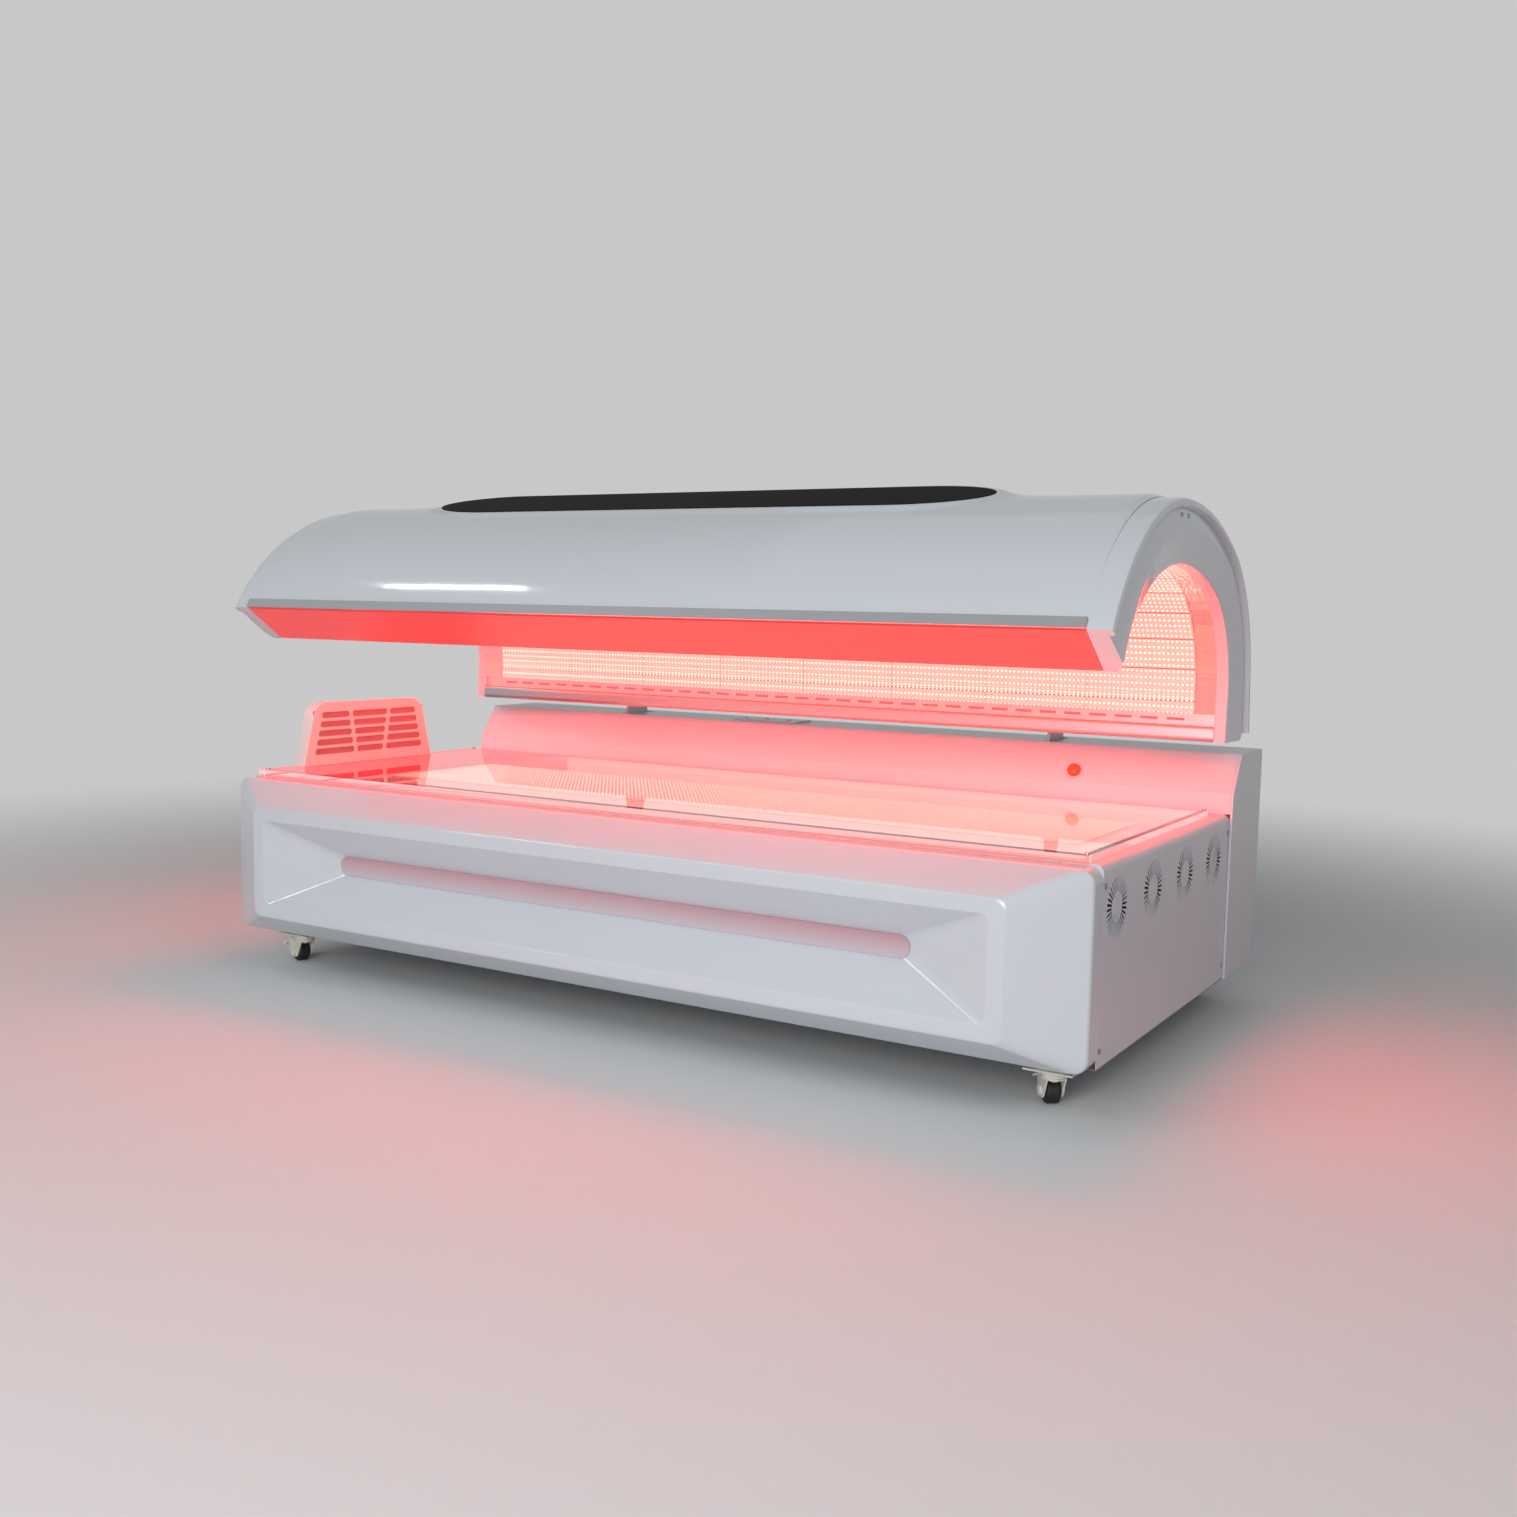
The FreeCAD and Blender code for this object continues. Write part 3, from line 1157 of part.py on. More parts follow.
def front_rail():
    along = vec(0, TIP[0] - CORNER[0], TIP[1] - CORNER[1]).normalize()
    inward = vec(0, -along.z, along.y) * RAIL_T
    start = vec(0, CORNER[0], CORNER[1]) + along * (SHELL_T + SINK)
    points = [(start.y, start.z), TIP, (TIP[0] + inward.y, TIP[1] + inward.z)]
    points.append((start.y + inward.y, start.z + inward.z))
    return section(points, [0, RAIL_EDGE_R, RAIL_EDGE_R, 0], (SEAM - SEAM_X, SEAM_X - SEAM))


def rear_rail():
    # rounded bar, slotted ledge above it and the sheet that closes the canopy's back foot
    span = (SEAM - SEAM_X, SEAM_X - SEAM)
    front = inner_arch.wall_y(INNER_FOOT, 0)
    back = front + BAR_W
    bar = section([(front, INNER_FOOT), (front, BAR_TOP), (back, BAR_TOP), (back, INNER_FOOT)],
                  [BAR_LOW_R, BAR_HIGH_R, 0, 0], span)
    wall = shell_arch.wall_y(SHELL_FOOT, -SHELL_T) - NEAR
    sheet = plain([(back - SINK, INNER_FOOT), (back - SINK, INNER_FOOT + LEDGE_T),
                   (wall, SHELL_FOOT + LEDGE_T), (wall, SHELL_FOOT)], span)
    ledge_y = front + LEDGE_IN
    ledge = box(span, (ledge_y, ledge_y + LEDGE_T), (BAR_TOP - SINK, LEDGE_TOP))
    slots = []
    count = int(SEAM_X / LEDGE_SLOT_PITCH) - 1
    middle = BAR_TOP + LEDGE_H / 2
    for i in range(-count, count + 1):
        x = i * LEDGE_SLOT_PITCH
        slots.append(box((x - LEDGE_SLOT_L / 2, x + LEDGE_SLOT_L / 2), (ledge_y, ledge_y + LEDGE_T),
                         (middle - LEDGE_SLOT_H / 2, middle + LEDGE_SLOT_H / 2)))
    return joined([bar, sheet, ledge]).cut(slots)


def canopy_boards():
    # flat boards set like staves round the inside of the arch
    path = Part.Wire(inner_arch.edges(0, LED_GROW, RAIL_T + LED_LEAD, LEDGE_TOP))
    points = path.discretize(Distance=BOARD_W)
    boards = []
    for i in range(len(points) - 1):
        along = (points[i + 1] - points[i]).normalize()
        out = vec(0, -along.z, along.y) * BOARD_T
        first = points[i] + along * SEAM
        last = points[i + 1] - along * SEAM
        corners = [(p.y, p.z) for p in (first, last, last + out, first + out)]
        boards.append(plain(corners, (-CANOPY_LED_HALF, CANOPY_LED_HALF)))
    return boards


def canopy_glazing():
    # curved clear sheet from the front rail back to the bar
    half = SEAM_X - SEAM
    lead = RAIL_T + 2 * NEAR
    outer = inner_arch.edges(-half, GLAZING_T, lead, BAR_TOP + NEAR)
    inner = inner_arch.edges(-half, 0, lead, BAR_TOP + NEAR)
    return between(outer, inner, [], 2 * half)


def end_reflectors():
    # slanted polished strips from the ends of the boards down to the glazing
    skins = []
    for skin, longer in ((REFLECTOR_T, 0), (0, 4 * REFLECTOR_T)):
        lead = RAIL_T + LED_LEAD - longer
        wires = []
        for x, grow in ((CANOPY_LED_HALF + NEAR, LED_GROW), (SEAM_X - 2 * SEAM, GLAZING_T + NEAR)):
            wires.append(under(inner_arch.edges(x, grow + skin, lead, LEDGE_TOP + NEAR)))
        skins.append(Part.makeLoft(wires, True, True))
    keep = box((0, CANOPY_HALF), (0, BACK_Y), (LEDGE_TOP + NEAR, SHELL_APEX[1]))
    right = skins[0].cut(skins[1]).common(keep)
    return [mirrored(right), right]


def canopy_frame():
    # welded ribs that follow the shell and the boards, on a square tube at the back
    pieces = []
    low = BAR_TOP + NEAR
    inner_grow = LED_GROW + BOARD_T + NEAR
    pitch = 2 * (SEAM_X - RIB_END_IN) / (RIB_COUNT - 1)
    for i in range(RIB_COUNT):
        x = (i - (RIB_COUNT - 1) / 2) * pitch - RIB_T / 2
        outer = shell_arch.edges(x, -SHELL_T - NEAR, RAIL_T, low)
        inner = inner_arch.edges(x, inner_grow, RAIL_T + LED_LEAD, low)
        pieces.append(between(outer, inner, [], RIB_T))
    base = SHELL_FOOT + SPINE_RISE
    back = shell_arch.wall_y(base + SPINE_SIZE, -SHELL_T) - NEAR
    long = (SEAM - SEAM_X, SEAM_X - SEAM)
    spine = tube_pair(long, (back - SPINE_SIZE, back), (base, base + SPINE_SIZE), 0)
    pieces.append(spine[0])
    return joined(pieces).cut(spine[1])


def canopy_screws():
    screws = []
    for i in (-0.5, 0.5):
        y = SHELL_APEX[0] + i * CAP_SCREW_PITCH
        z = SHELL_APEX[1] - CAP_DROP - CAP_SCREW_DOWN
        right = disc_x((BAND_X, BAND_X + SCREW_HEAD_T), y, z, CAP_SCREW_R)
        screws += [right, mirrored(right)]
    return screws


os.makedirs("parts", exist_ok=True)

save("base_frame", [base_frame()])
save("bottom_pan", [box((-CABINET_HALF, CABINET_HALF), (WRAP + SEAM, BACK_Y), (PAN_Z, PAN_TOP))])
save("front_panel", [front_panel()])
save("front_light_diffuser", [front_diffuser()])
save("front_light_channel", front_light())
right_panel = side_panel()
save("right_side_panel", [right_panel])
save("left_side_panel", [mirrored(right_panel)])
save("deck_frame", [deck_frame()])
save("bed_acrylic", [bed_acrylic()])
save("bed_led_tray", bed_tray())
save("bed_led_boards", bed_boards())
save("column_front_cover", [column_front()])
save("column_end_panels", column_ends())
save("column_back_panel", [column_back()])
save("column_top_cover", [column_top()])
save("mains_inlet", [mains_inlet()])
save("power_supplies", power_supplies())
save("control_box", [control_box()])

fan_frames = []
for i in range(VENT_COUNT):
    fan = axial_fan(CABINET_HALF - SIDE_T, VENT_FRONT + i * VENT_PITCH, VENT_Z,
                    FAN_SIZE, FAN_DEPTH, FAN_BORE_R, FAN_HUB_R, FAN_CHORD)
    fan_frames.append(fan[0])
    save("exhaust_fan_rotor_" + str(i + 1), [fan[1]])
save("exhaust_fan_frames", fan_frames)

save("face_fan_housing", [face_fan_housing()])
face_frames = []
for i in range(2):
    fan = axial_fan(HEAD_X - HEAD_WALL, HEAD_MID + (2 * i - 1) * FACE_FAN_OFFSET, DECK_TOP + FACE_FAN_RISE,
                    FACE_FAN_SIZE, FACE_FAN_DEPTH, FACE_FAN_BORE_R, FACE_FAN_HUB_R, FACE_FAN_CHORD)
    face_frames.append(fan[0])
    save("face_fan_rotor_" + str(i + 1), [fan[1]])
save("face_fan_frames", face_frames)

stop_collar, stop_button = stop_parts()
save("stop_button_collar", [stop_collar])
save("stop_button", [stop_button])

caster_plates = []
left_x = CASTER_IN - CABINET_HALF
for side, x, front_turn in (("left", left_x, FRONT_LEFT_TURN), ("right", -left_x, FRONT_RIGHT_TURN)):
    rear_y = BACK_Y - CASTER_BACK_GAP
    for end, y, turn in (("front", CASTER_FRONT, front_turn), ("rear", rear_y, REAR_TURN)):
        plate = caster_plate()
        plate.translate(vec(x, y, 0))
        caster_plates.append(plate)
        for piece, shape in (("fork", caster_fork()), ("wheel", caster_wheel()), ("pedal", caster_pedal())):
            shape.rotate(vec(0, 0, 0), vec(0, 0, 1), turn)
            shape.translate(vec(x, y, 0))
            save("caster_" + piece + "_" + end + "_" + side, [shape])
save("caster_plates", caster_plates)

save("hinge_blocks", hinge_blocks())
save("hinge_arms", hinge_arms())
strut_brackets, strut_cylinders, strut_rods = strut_parts()
save("strut_brackets", strut_brackets)
save("strut_cylinders", strut_cylinders)
save("strut_rods", strut_rods)
save("cabinet_screws", cabinet_screws())

save("canopy_shell", [canopy_shell()])
cap = right_cap()
save("canopy_right_cap", [cap])
save("canopy_left_cap", [mirrored(cap)])
save("canopy_front_trim", [front_trim()])
save("canopy_front_rail", [front_rail()])
save("canopy_rear_rail", [rear_rail()])
save("canopy_frame", [canopy_frame()])
save("canopy_led_boards", canopy_boards())
save("canopy_acrylic", [canopy_glazing()])
save("canopy_end_reflectors", end_reflectors())
save("display_glass", [glass_plate(0, 0)])
save("canopy_screws", canopy_screws())
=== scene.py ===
import json
import math

import bmesh
import bpy
from mathutils import Matrix, Vector

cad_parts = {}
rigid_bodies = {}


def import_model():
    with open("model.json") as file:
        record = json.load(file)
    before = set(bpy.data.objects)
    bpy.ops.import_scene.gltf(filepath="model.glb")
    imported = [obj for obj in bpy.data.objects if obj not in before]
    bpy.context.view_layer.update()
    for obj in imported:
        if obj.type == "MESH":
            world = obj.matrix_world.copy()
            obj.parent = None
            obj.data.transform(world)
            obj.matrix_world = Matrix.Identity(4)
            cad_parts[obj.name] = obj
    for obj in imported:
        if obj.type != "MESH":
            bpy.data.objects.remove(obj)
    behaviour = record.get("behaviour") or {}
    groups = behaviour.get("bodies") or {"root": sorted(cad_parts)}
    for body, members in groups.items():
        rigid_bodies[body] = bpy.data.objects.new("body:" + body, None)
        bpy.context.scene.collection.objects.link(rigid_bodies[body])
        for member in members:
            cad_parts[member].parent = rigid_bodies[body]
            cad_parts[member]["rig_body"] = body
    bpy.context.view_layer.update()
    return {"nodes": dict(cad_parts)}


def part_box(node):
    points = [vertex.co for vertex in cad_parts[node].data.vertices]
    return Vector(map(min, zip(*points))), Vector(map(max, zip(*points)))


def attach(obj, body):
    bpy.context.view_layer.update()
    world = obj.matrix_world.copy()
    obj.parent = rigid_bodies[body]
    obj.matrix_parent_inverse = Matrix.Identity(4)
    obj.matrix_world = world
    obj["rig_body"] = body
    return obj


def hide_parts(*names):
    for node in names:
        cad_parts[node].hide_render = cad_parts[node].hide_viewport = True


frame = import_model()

nodes = frame["nodes"]
slotOf = {name: node.material_slots[0].material.name for name, node in nodes.items()}
weld = 0.00001  # points nearer than this are one point
hair = 0.001  # shorter than any edge that is picked by its run
dot = 0.002  # side of the small plane that a traced line starts from
levelFace = 0.9  # the least that the normal of a face rises where the face looks up
print("frame loaded:", len(nodes), "nodes")


# Small tools

def linear(hexColour):
    # sRGB hex to the linear numbers that shader sockets take
    channels = [int(hexColour[i:i + 2], 16) / 255 for i in (1, 3, 5)]
    return [c / 12.92 if c <= 0.04045 else ((c + 0.055) / 1.055) ** 2.4 for c in channels] + [1.0]


def addNode(tree, kind, settings=None, values=None, links=None):
    node = tree.nodes.new(kind)
    for name, value in (settings or {}).items():
        setattr(node, name, value)
    for socket, value in (values or {}).items():
        node.inputs[socket].default_value = value
    for socket, source in (links or {}).items():
        tree.links.new(source, node.inputs[socket])
    return node


def startMaterial(name, values):
    material = bpy.data.materials.new(name)
    material.use_nodes = True
    tree = material.node_tree
    shader = tree.nodes["Principled BSDF"]
    for socket, value in values.items():
        shader.inputs[socket].default_value = value
    place = addNode(tree, "ShaderNodeTexCoord").outputs["Object"]
    return material, tree, shader, place


def perMetre(millimetres):
    # texture scale whose pattern repeats about every so many millimetres
    return 1000.0 / millimetres


def feed(tree, output, shader, socket):
    tree.links.new(output, shader.inputs[socket])


def noiseAt(tree, place, millimetres, detail):
    # soft random pattern, its patches about so many millimetres wide
    return addNode(tree, "ShaderNodeTexNoise", None, {"Scale": perMetre(millimetres), "Detail": detail},
                   {"Vector": place}).outputs["Fac"]


def blend(tree, share, first, second):
    # the first colour at a share of 0, the second at 1
    mix = addNode(tree, "ShaderNodeMix", {"data_type": "RGBA"}, {6: first, 7: second}, {0: share})
    return mix.outputs[2]


def spread(tree, share, low, high):
    # low at a share of 0, high at 1
    levels = addNode(tree, "ShaderNodeMapRange", None, {"To Min": low, "To Max": high}, {"Value": share})
    return levels.outputs["Result"]


def maths(tree, operation, value, other=0.0):
    # one sum on a value and a fixed number
    return addNode(tree, "ShaderNodeMath", {"operation": operation}, {1: other}, {0: value}).outputs["Value"]


def axisOf(tree, place, axis):
    return addNode(tree, "ShaderNodeSeparateXYZ", None, None, {"Vector": place}).outputs[axis]


def raiseGrain(tree, shader, height, strength, distance):
    bump = addNode(tree, "ShaderNodeBump", None, {"Strength": strength, "Distance": distance},
                   {"Height": height})
    feed(tree, bump.outputs["Normal"], shader, "Normal")


def deselectAll():
    if bpy.context.mode != "OBJECT":
        bpy.ops.object.mode_set(mode="OBJECT")
    bpy.ops.object.select_all(action="DESELECT")


def activate(piece):
    deselectAll()
    piece.select_set(True)
    bpy.context.view_layer.objects.active = piece


def editPiece(piece, mode="FACE"):
    activate(piece)
    bpy.ops.object.mode_set(mode="EDIT")
    bpy.ops.mesh.select_mode(type=mode)
    bpy.ops.mesh.select_all(action="DESELECT")


def pick(piece, kind, test):
    # in edit mode, selects the faces, edges or verts that pass a test on their place and normal
    bpy.ops.mesh.select_all(action="DESELECT")
    bpy.ops.mesh.select_mode(type=kind)
    mesh = bmesh.from_edit_mesh(piece.data)
    mesh.normal_update()
    for face in mesh.faces if kind == "FACE" else []:
        face.select_set(test(face.calc_center_median(), face.normal))
    for edge in mesh.edges if kind == "EDGE" else []:
        edge.select_set(test(edge.verts[0].co, edge.verts[1].co))
    for vertex in mesh.verts if kind == "VERT" else []:
        vertex.select_set(test(vertex.co))
    mesh.select_flush_mode()
    bmesh.update_edit_mesh(piece.data)


def startCube(name, low, high):
    deselectAll()
    low, high = Vector(low), Vector(high)
    bpy.ops.mesh.primitive_cube_add(size=1.0, location=(low + high) / 2, scale=high - low)
    bpy.ops.object.transform_apply()
    bpy.context.object.name = name
    return bpy.context.object


def startEmpty(name):
    # a new mesh in edit mode, with nothing in it yet
    deselectAll()
    bpy.ops.mesh.primitive_plane_add(size=dot)
    piece = bpy.context.object
    piece.name = name
    editPiece(piece, "VERT")
    bpy.ops.mesh.select_all(action="SELECT")
    bpy.ops.mesh.delete(type="VERT")
    return piece


def finishWith(piece, kind, **settings):
    # adds a modifier with its settings and applies it
    activate(piece)
    modifier = piece.modifiers.new(kind.lower(), kind)
    for name, value in settings.items():
        setattr(modifier, name, value)
    bpy.ops.object.modifier_apply(modifier=modifier.name)


def settle(piece, body, material, replaced=(), smoothAngle=35, evenFlats=False):
    # finish, shading, body and the nodes that the piece stands for
    activate(piece)
    bpy.ops.object.transform_apply()
    bpy.ops.object.shade_smooth_by_angle(angle=math.radians(smoothAngle))
    if evenFlats:
        finishWith(piece, "WEIGHTED_NORMAL", keep_sharp=True)
    piece.data.materials.clear()
    piece.data.materials.append(material)
    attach(piece, body)
    if replaced:
        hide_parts(*replaced)
    return piece


copyForm = {"weld": 0.00002, "flatAngle": 0.5}


def mergedCopy(node, name):
    # a copy of a CAD node as one joined mesh
    piece = bpy.data.objects.new(name, nodes[node].data.copy())
    bpy.context.scene.collection.objects.link(piece)
    editPiece(piece, "VERT")
    bpy.ops.mesh.select_all(action="SELECT")
    bpy.ops.mesh.remove_doubles(threshold=copyForm["weld"])
    bpy.ops.mesh.dissolve_limited(angle_limit=math.radians(copyForm["flatAngle"]))
    activate(piece)
    return piece


def softCopy(node, name, edge, smoothAngle=35):
    # a copy of a CAD node with its sharp edges broken
    piece = mergedCopy(node, name)
    finishWith(piece, "BEVEL", width=edge, segments=2, limit_method="ANGLE",
               angle_limit=math.radians(smoothAngle))
    return settle(piece, nodes[node]["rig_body"], lookOf(node), [node], smoothAngle, True)


# Materials, one for each finish in the record

finish = {}


def makeGlossShell():
    # ABS sheet with a gloss acrylic cap, vacuum formed: wet shine, with a faint ripple from the mould
    material, tree, shader, place = startMaterial("formed_gloss_abs", {
        "Roughness": 0.1, "IOR": 1.5, "Coat Weight": 0.25, "Coat Roughness": 0.03})
    raiseGrain(tree, shader, noiseAt(tree, place, 45, 1.0), strength=0.06, distance=0.002)
    cloud = noiseAt(tree, place, 400, 2.0)
    feed(tree, blend(tree, cloud, linear("#cad1d8"), linear("#d0d7de")), shader, "Base Color")
    return material


finish["gloss_white"] = makeGlossShell()


def makePowderCoat(name, light, dark, roughness):
    # baked powder on sheet steel: even satin, with a fine orange peel too small to count
    material, tree, shader, place = startMaterial(name, {"Roughness": roughness, "IOR": 1.5})
    raiseGrain(tree, shader, noiseAt(tree, place, 2.5, 2.0), strength=0.08, distance=0.0004)
    cloud = noiseAt(tree, place, 180, 3.0)
    feed(tree, blend(tree, cloud, linear(light), linear(dark)), shader, "Base Color")
    return material


finish["white_paint"] = makePowderCoat("white_powder_coat", "#d2d6dd", "#cbd0d7", 0.3)
finish["grey_paint"] = makePowderCoat("grey_powder_coat", "#72757a", "#696c71", 0.42)
finish["caster_steel"] = makePowderCoat("coated_pressed_steel", "#e2dfd4", "#d6d3c8", 0.4)
finish["strut_black"] = makePowderCoat("black_coated_tube", "#1a1a1c", "#141416", 0.35)


def makeClearAcrylic(name, paintedGlow, paintedEdgeGlow, paintedHeadGlow):
    # cast acrylic, flame polished: clear, with a painted red glow for the boards' light: over its face,
    # stronger at its edges, as light run inside the sheet would leave them, and over its head end, where no
    # board lies under it
    look = {"headEnd": -0.78, "blend": 0.1, "flatFrom": 0.75, "clearest": 0.002, "haziest": 0.014}
    material, tree, shader, place = startMaterial(name, {
        "Base Color": linear("#fff2f2"), "IOR": 1.49, "Transmission Weight": 1.0, "Emission Strength": 1.0})
    haze = noiseAt(tree, place, 120, 3.0)
    feed(tree, spread(tree, haze, look["clearest"], look["haziest"]), shader, "Roughness")
    upright = maths(tree, "ABSOLUTE", axisOf(tree, place.node.outputs["Normal"], "Z"))
    flat = maths(tree, "GREATER_THAN", upright, look["flatFrom"])
    past = addNode(tree, "ShaderNodeMapRange", None,
                   {"From Min": look["headEnd"], "From Max": look["headEnd"] + look["blend"]},
                   {"Value": axisOf(tree, place, "X")}).outputs["Result"]
    over = blend(tree, past, paintedHeadGlow, paintedGlow)
    light = addNode(tree, "ShaderNodeMix", {"data_type": "RGBA"}, {6: paintedEdgeGlow}, {0: flat, 7: over})
    feed(tree, light.outputs[2], shader, "Emission Color")
    return material


# painted red glow for the canopy's sheet: it stands in for the boards' light that lights the tunnel
paintedTunnelGlow = (1.5, 0.05, 0.045, 1.0)
finish["clear_acrylic"] = makeClearAcrylic(
    "cast_clear_acrylic", (0.05, 0.03, 0.027, 1.0), (0.75, 0.2, 0.2, 1.0), (0.3, 0.0, 0.004, 1.0))
glowPaintedAcrylic = makeClearAcrylic("glow_painted_clear_acrylic", paintedTunnelGlow, paintedTunnelGlow, paintedTunnelGlow)


def makeFrostedLens():
    # opal acrylic: milky all through, glowing faintly from the strip behind it; its base colour is painted
    # pinker and darker towards its upper edge, as painted light from that strip and painted shade under the
    # slot's top
    look = {"low": 0.263, "high": 0.307, "uneven": 0.12}
    material, tree, shader, place = startMaterial("opal_acrylic", {
        "Roughness": 0.45, "IOR": 1.49, "Emission Color": linear("#ffd0d4"), "Emission Strength": 0.08})
    rise = addNode(tree, "ShaderNodeMapRange", None, {"From Min": look["low"], "From Max": look["high"]},
                   {"Value": axisOf(tree, place, "Z")}).outputs["Result"]
    grain = noiseAt(tree, place, 4, 2.0)
    uneven = addNode(tree, "ShaderNodeMath", {"operation": "MULTIPLY_ADD"},
                     {1: look["uneven"], 2: -look["uneven"] / 2}, {0: grain}).outputs["Value"]
    share = addNode(tree, "ShaderNodeMath", {"operation": "ADD"}, None, {0: rise, 1: uneven}).outputs["Value"]
    # painted light and shade: pinker and darker towards the top of the lens
    feed(tree, blend(tree, share, linear("#b9b6bf"), linear("#ad828d")), shader, "Base Color")
    return material


finish["frosted_lens"] = makeFrostedLens()


def makeBrushedMetal(name, light, dark, roughness, lineWidth, metallic=1.0, paintedGlow=(0, 0, 0, 1)):
    # extruded along its length: fine lines lie along X and stretch each highlight
    # paintedGlow: a painted glow for light that falls on the metal, none unless given
    look = {"stretch": (0.02, 1.0, 1.0), "smoothest": 0.75, "roughest": 1.25}
    material, tree, shader, place = startMaterial(name, {
        "Metallic": metallic, "Emission Color": paintedGlow, "Emission Strength": 1.0})
    stretch = addNode(tree, "ShaderNodeMapping", None, {"Scale": look["stretch"]}, {"Vector": place})
    lines = noiseAt(tree, stretch.outputs["Vector"], lineWidth, 3.0)
    feed(tree, blend(tree, lines, linear(light), linear(dark)), shader, "Base Color")
    rough = spread(tree, lines, roughness * look["smoothest"], roughness * look["roughest"])
    feed(tree, rough, shader, "Roughness")
    return material


finish["satin_aluminium"] = makeBrushedMetal("anodised_aluminium", "#c3c5c9", "#b2b4b9", 0.38, 2.0)
finish["supply_case"] = makeBrushedMetal("folded_aluminium", "#b9bbbe", "#a6a8ac", 0.42, 3.0)
finish["screw_steel"] = makeBrushedMetal("bright_steel", "#a8a8ab", "#909094", 0.3, 0.8)
finish["strut_chrome"] = makeBrushedMetal("hard_chrome", "#d5d6da", "#cdced3", 0.1, 1.0)
finish["polished_reflector"] = makeBrushedMetal("polished_aluminium", "#d8aaa4", "#cc9c96", 0.03, 30.0)

tunnelMiddle = Vector((0, -0.06, 0.72))


def makeLedBoard():
    # white solder mask on an aluminium core, washed red by its own lamps, with dark joints between modules
    look = {"module": 0.250, "joint": 0.003, "wash": (4.0, 0.26, 0.21, 1.0), "seam": (1.0, 0.03, 0.02, 1.0)}
    material, tree, shader, place = startMaterial("lit_led_board", {
        "Base Color": linear("#f2b8b2"), "Roughness": 0.5})
    # only the lamp side of a board glows
    inward = addNode(tree, "ShaderNodeVectorMath", {"operation": "SUBTRACT"}, {0: tunnelMiddle}, {1: place})
    facing = addNode(tree, "ShaderNodeVectorMath", {"operation": "DOT_PRODUCT"}, None,
                     {0: inward.outputs["Vector"], 1: place.node.outputs["Normal"]})
    feed(tree, maths(tree, "GREATER_THAN", facing.outputs["Value"], 0.0), shader, "Emission Strength")
    step = addNode(tree, "ShaderNodeMath", {"operation": "WRAP"},
                   {1: look["module"] / 2, 2: -look["module"] / 2}, {0: axisOf(tree, place, "X")})
    away = maths(tree, "ABSOLUTE", step.outputs["Value"])
    joint = maths(tree, "LESS_THAN", away, look["joint"] / 2)
    feed(tree, blend(tree, joint, look["wash"], look["seam"]), shader, "Emission Color")
    return material


finish["led_board"] = makeLedBoard()


def makeLedChip():
    # phosphor under clear silicone: the brightest thing on the bed, warm white at its middle
    look = {"dullest": 3.4, "brightest": 4.6}
    material, tree, shader, place = startMaterial("silicone_led_lens", {
        "Base Color": linear("#fff1e6"), "Roughness": 0.2, "Emission Color": (1.0, 0.34, 0.25, 1.0)})
    # lamps from different reels: patches of them are a little brighter or duller
    reel = noiseAt(tree, place, 60, 1.0)
    feed(tree, spread(tree, reel, look["dullest"], look["brightest"]), shader, "Emission Strength")
    return material


ledLens = makeLedChip()


def makeBlackGlass():
    # float glass with black ink on its back and an anti-glare coat: deep black, with only a faint mirror
    look = {"clearest": 0.02, "haziest": 0.06}
    material, tree, shader, place = startMaterial("back_painted_glass", {
        "Base Color": linear("#060608"), "Specular IOR Level": 0.0, "Coat Weight": 0.1,
        "Coat Roughness": 0.02})
    smear = noiseAt(tree, place, 70, 4.0)
    feed(tree, spread(tree, smear, look["clearest"], look["haziest"]), shader, "Roughness")
    return material


finish["black_glass"] = makeBlackGlass()


def makeMoulded(name, light, dark, roughness, grain):
    # injection moulded, with the fine spark texture of the tool
    material, tree, shader, place = startMaterial(name, {"Roughness": roughness, "IOR": 1.5})
    spark = noiseAt(tree, place, grain, 3.0)
    feed(tree, blend(tree, spark, linear(light), linear(dark)), shader, "Base Color")
    raiseGrain(tree, shader, spark, strength=0.12, distance=0.0003)
    return material


finish["black_plastic"] = makeMoulded("black_moulded_abs", "#1c1c1e", "#151517", 0.45, 1.5)
finish["white_plastic"] = makeMoulded("white_moulded_abs", "#e2e2e0", "#dadad8", 0.4, 1.5)
finish["red_plastic"] = makeMoulded("red_moulded_acetal", "#e8603e", "#dc5638", 0.28, 1.5)
finish["wheel_rubber"] = makeMoulded("moulded_rubber", "#1b1b1d", "#121214", 0.6, 2.5)


def makeTrayWithPaintedLight():
    # white reflector film round the boards, with a painted pink glow for their light; dark past its left end,
    # as painted shade where no board lies under it
    look = {"paintedShadeEnd": -0.70, "paintedShadeGlow": (0.02, 0, 0, 1.0), "paintedBoardGlow": (1.2, 0.3, 0.24, 1.0)}
    material, tree, shader, place = startMaterial("tray_with_painted_light", {
        "Roughness": 0.5, "Emission Strength": 1.0})
    # painted shade left of this place, painted light from the boards right of it
    outOfShade = maths(tree, "GREATER_THAN", axisOf(tree, place, "X"), look["paintedShadeEnd"])
    feed(tree, blend(tree, outOfShade, linear("#2c2426"), linear("#ecdcda")), shader, "Base Color")
    feed(tree, blend(tree, outOfShade, look["paintedShadeGlow"], look["paintedBoardGlow"]), shader, "Emission Color")
    return material


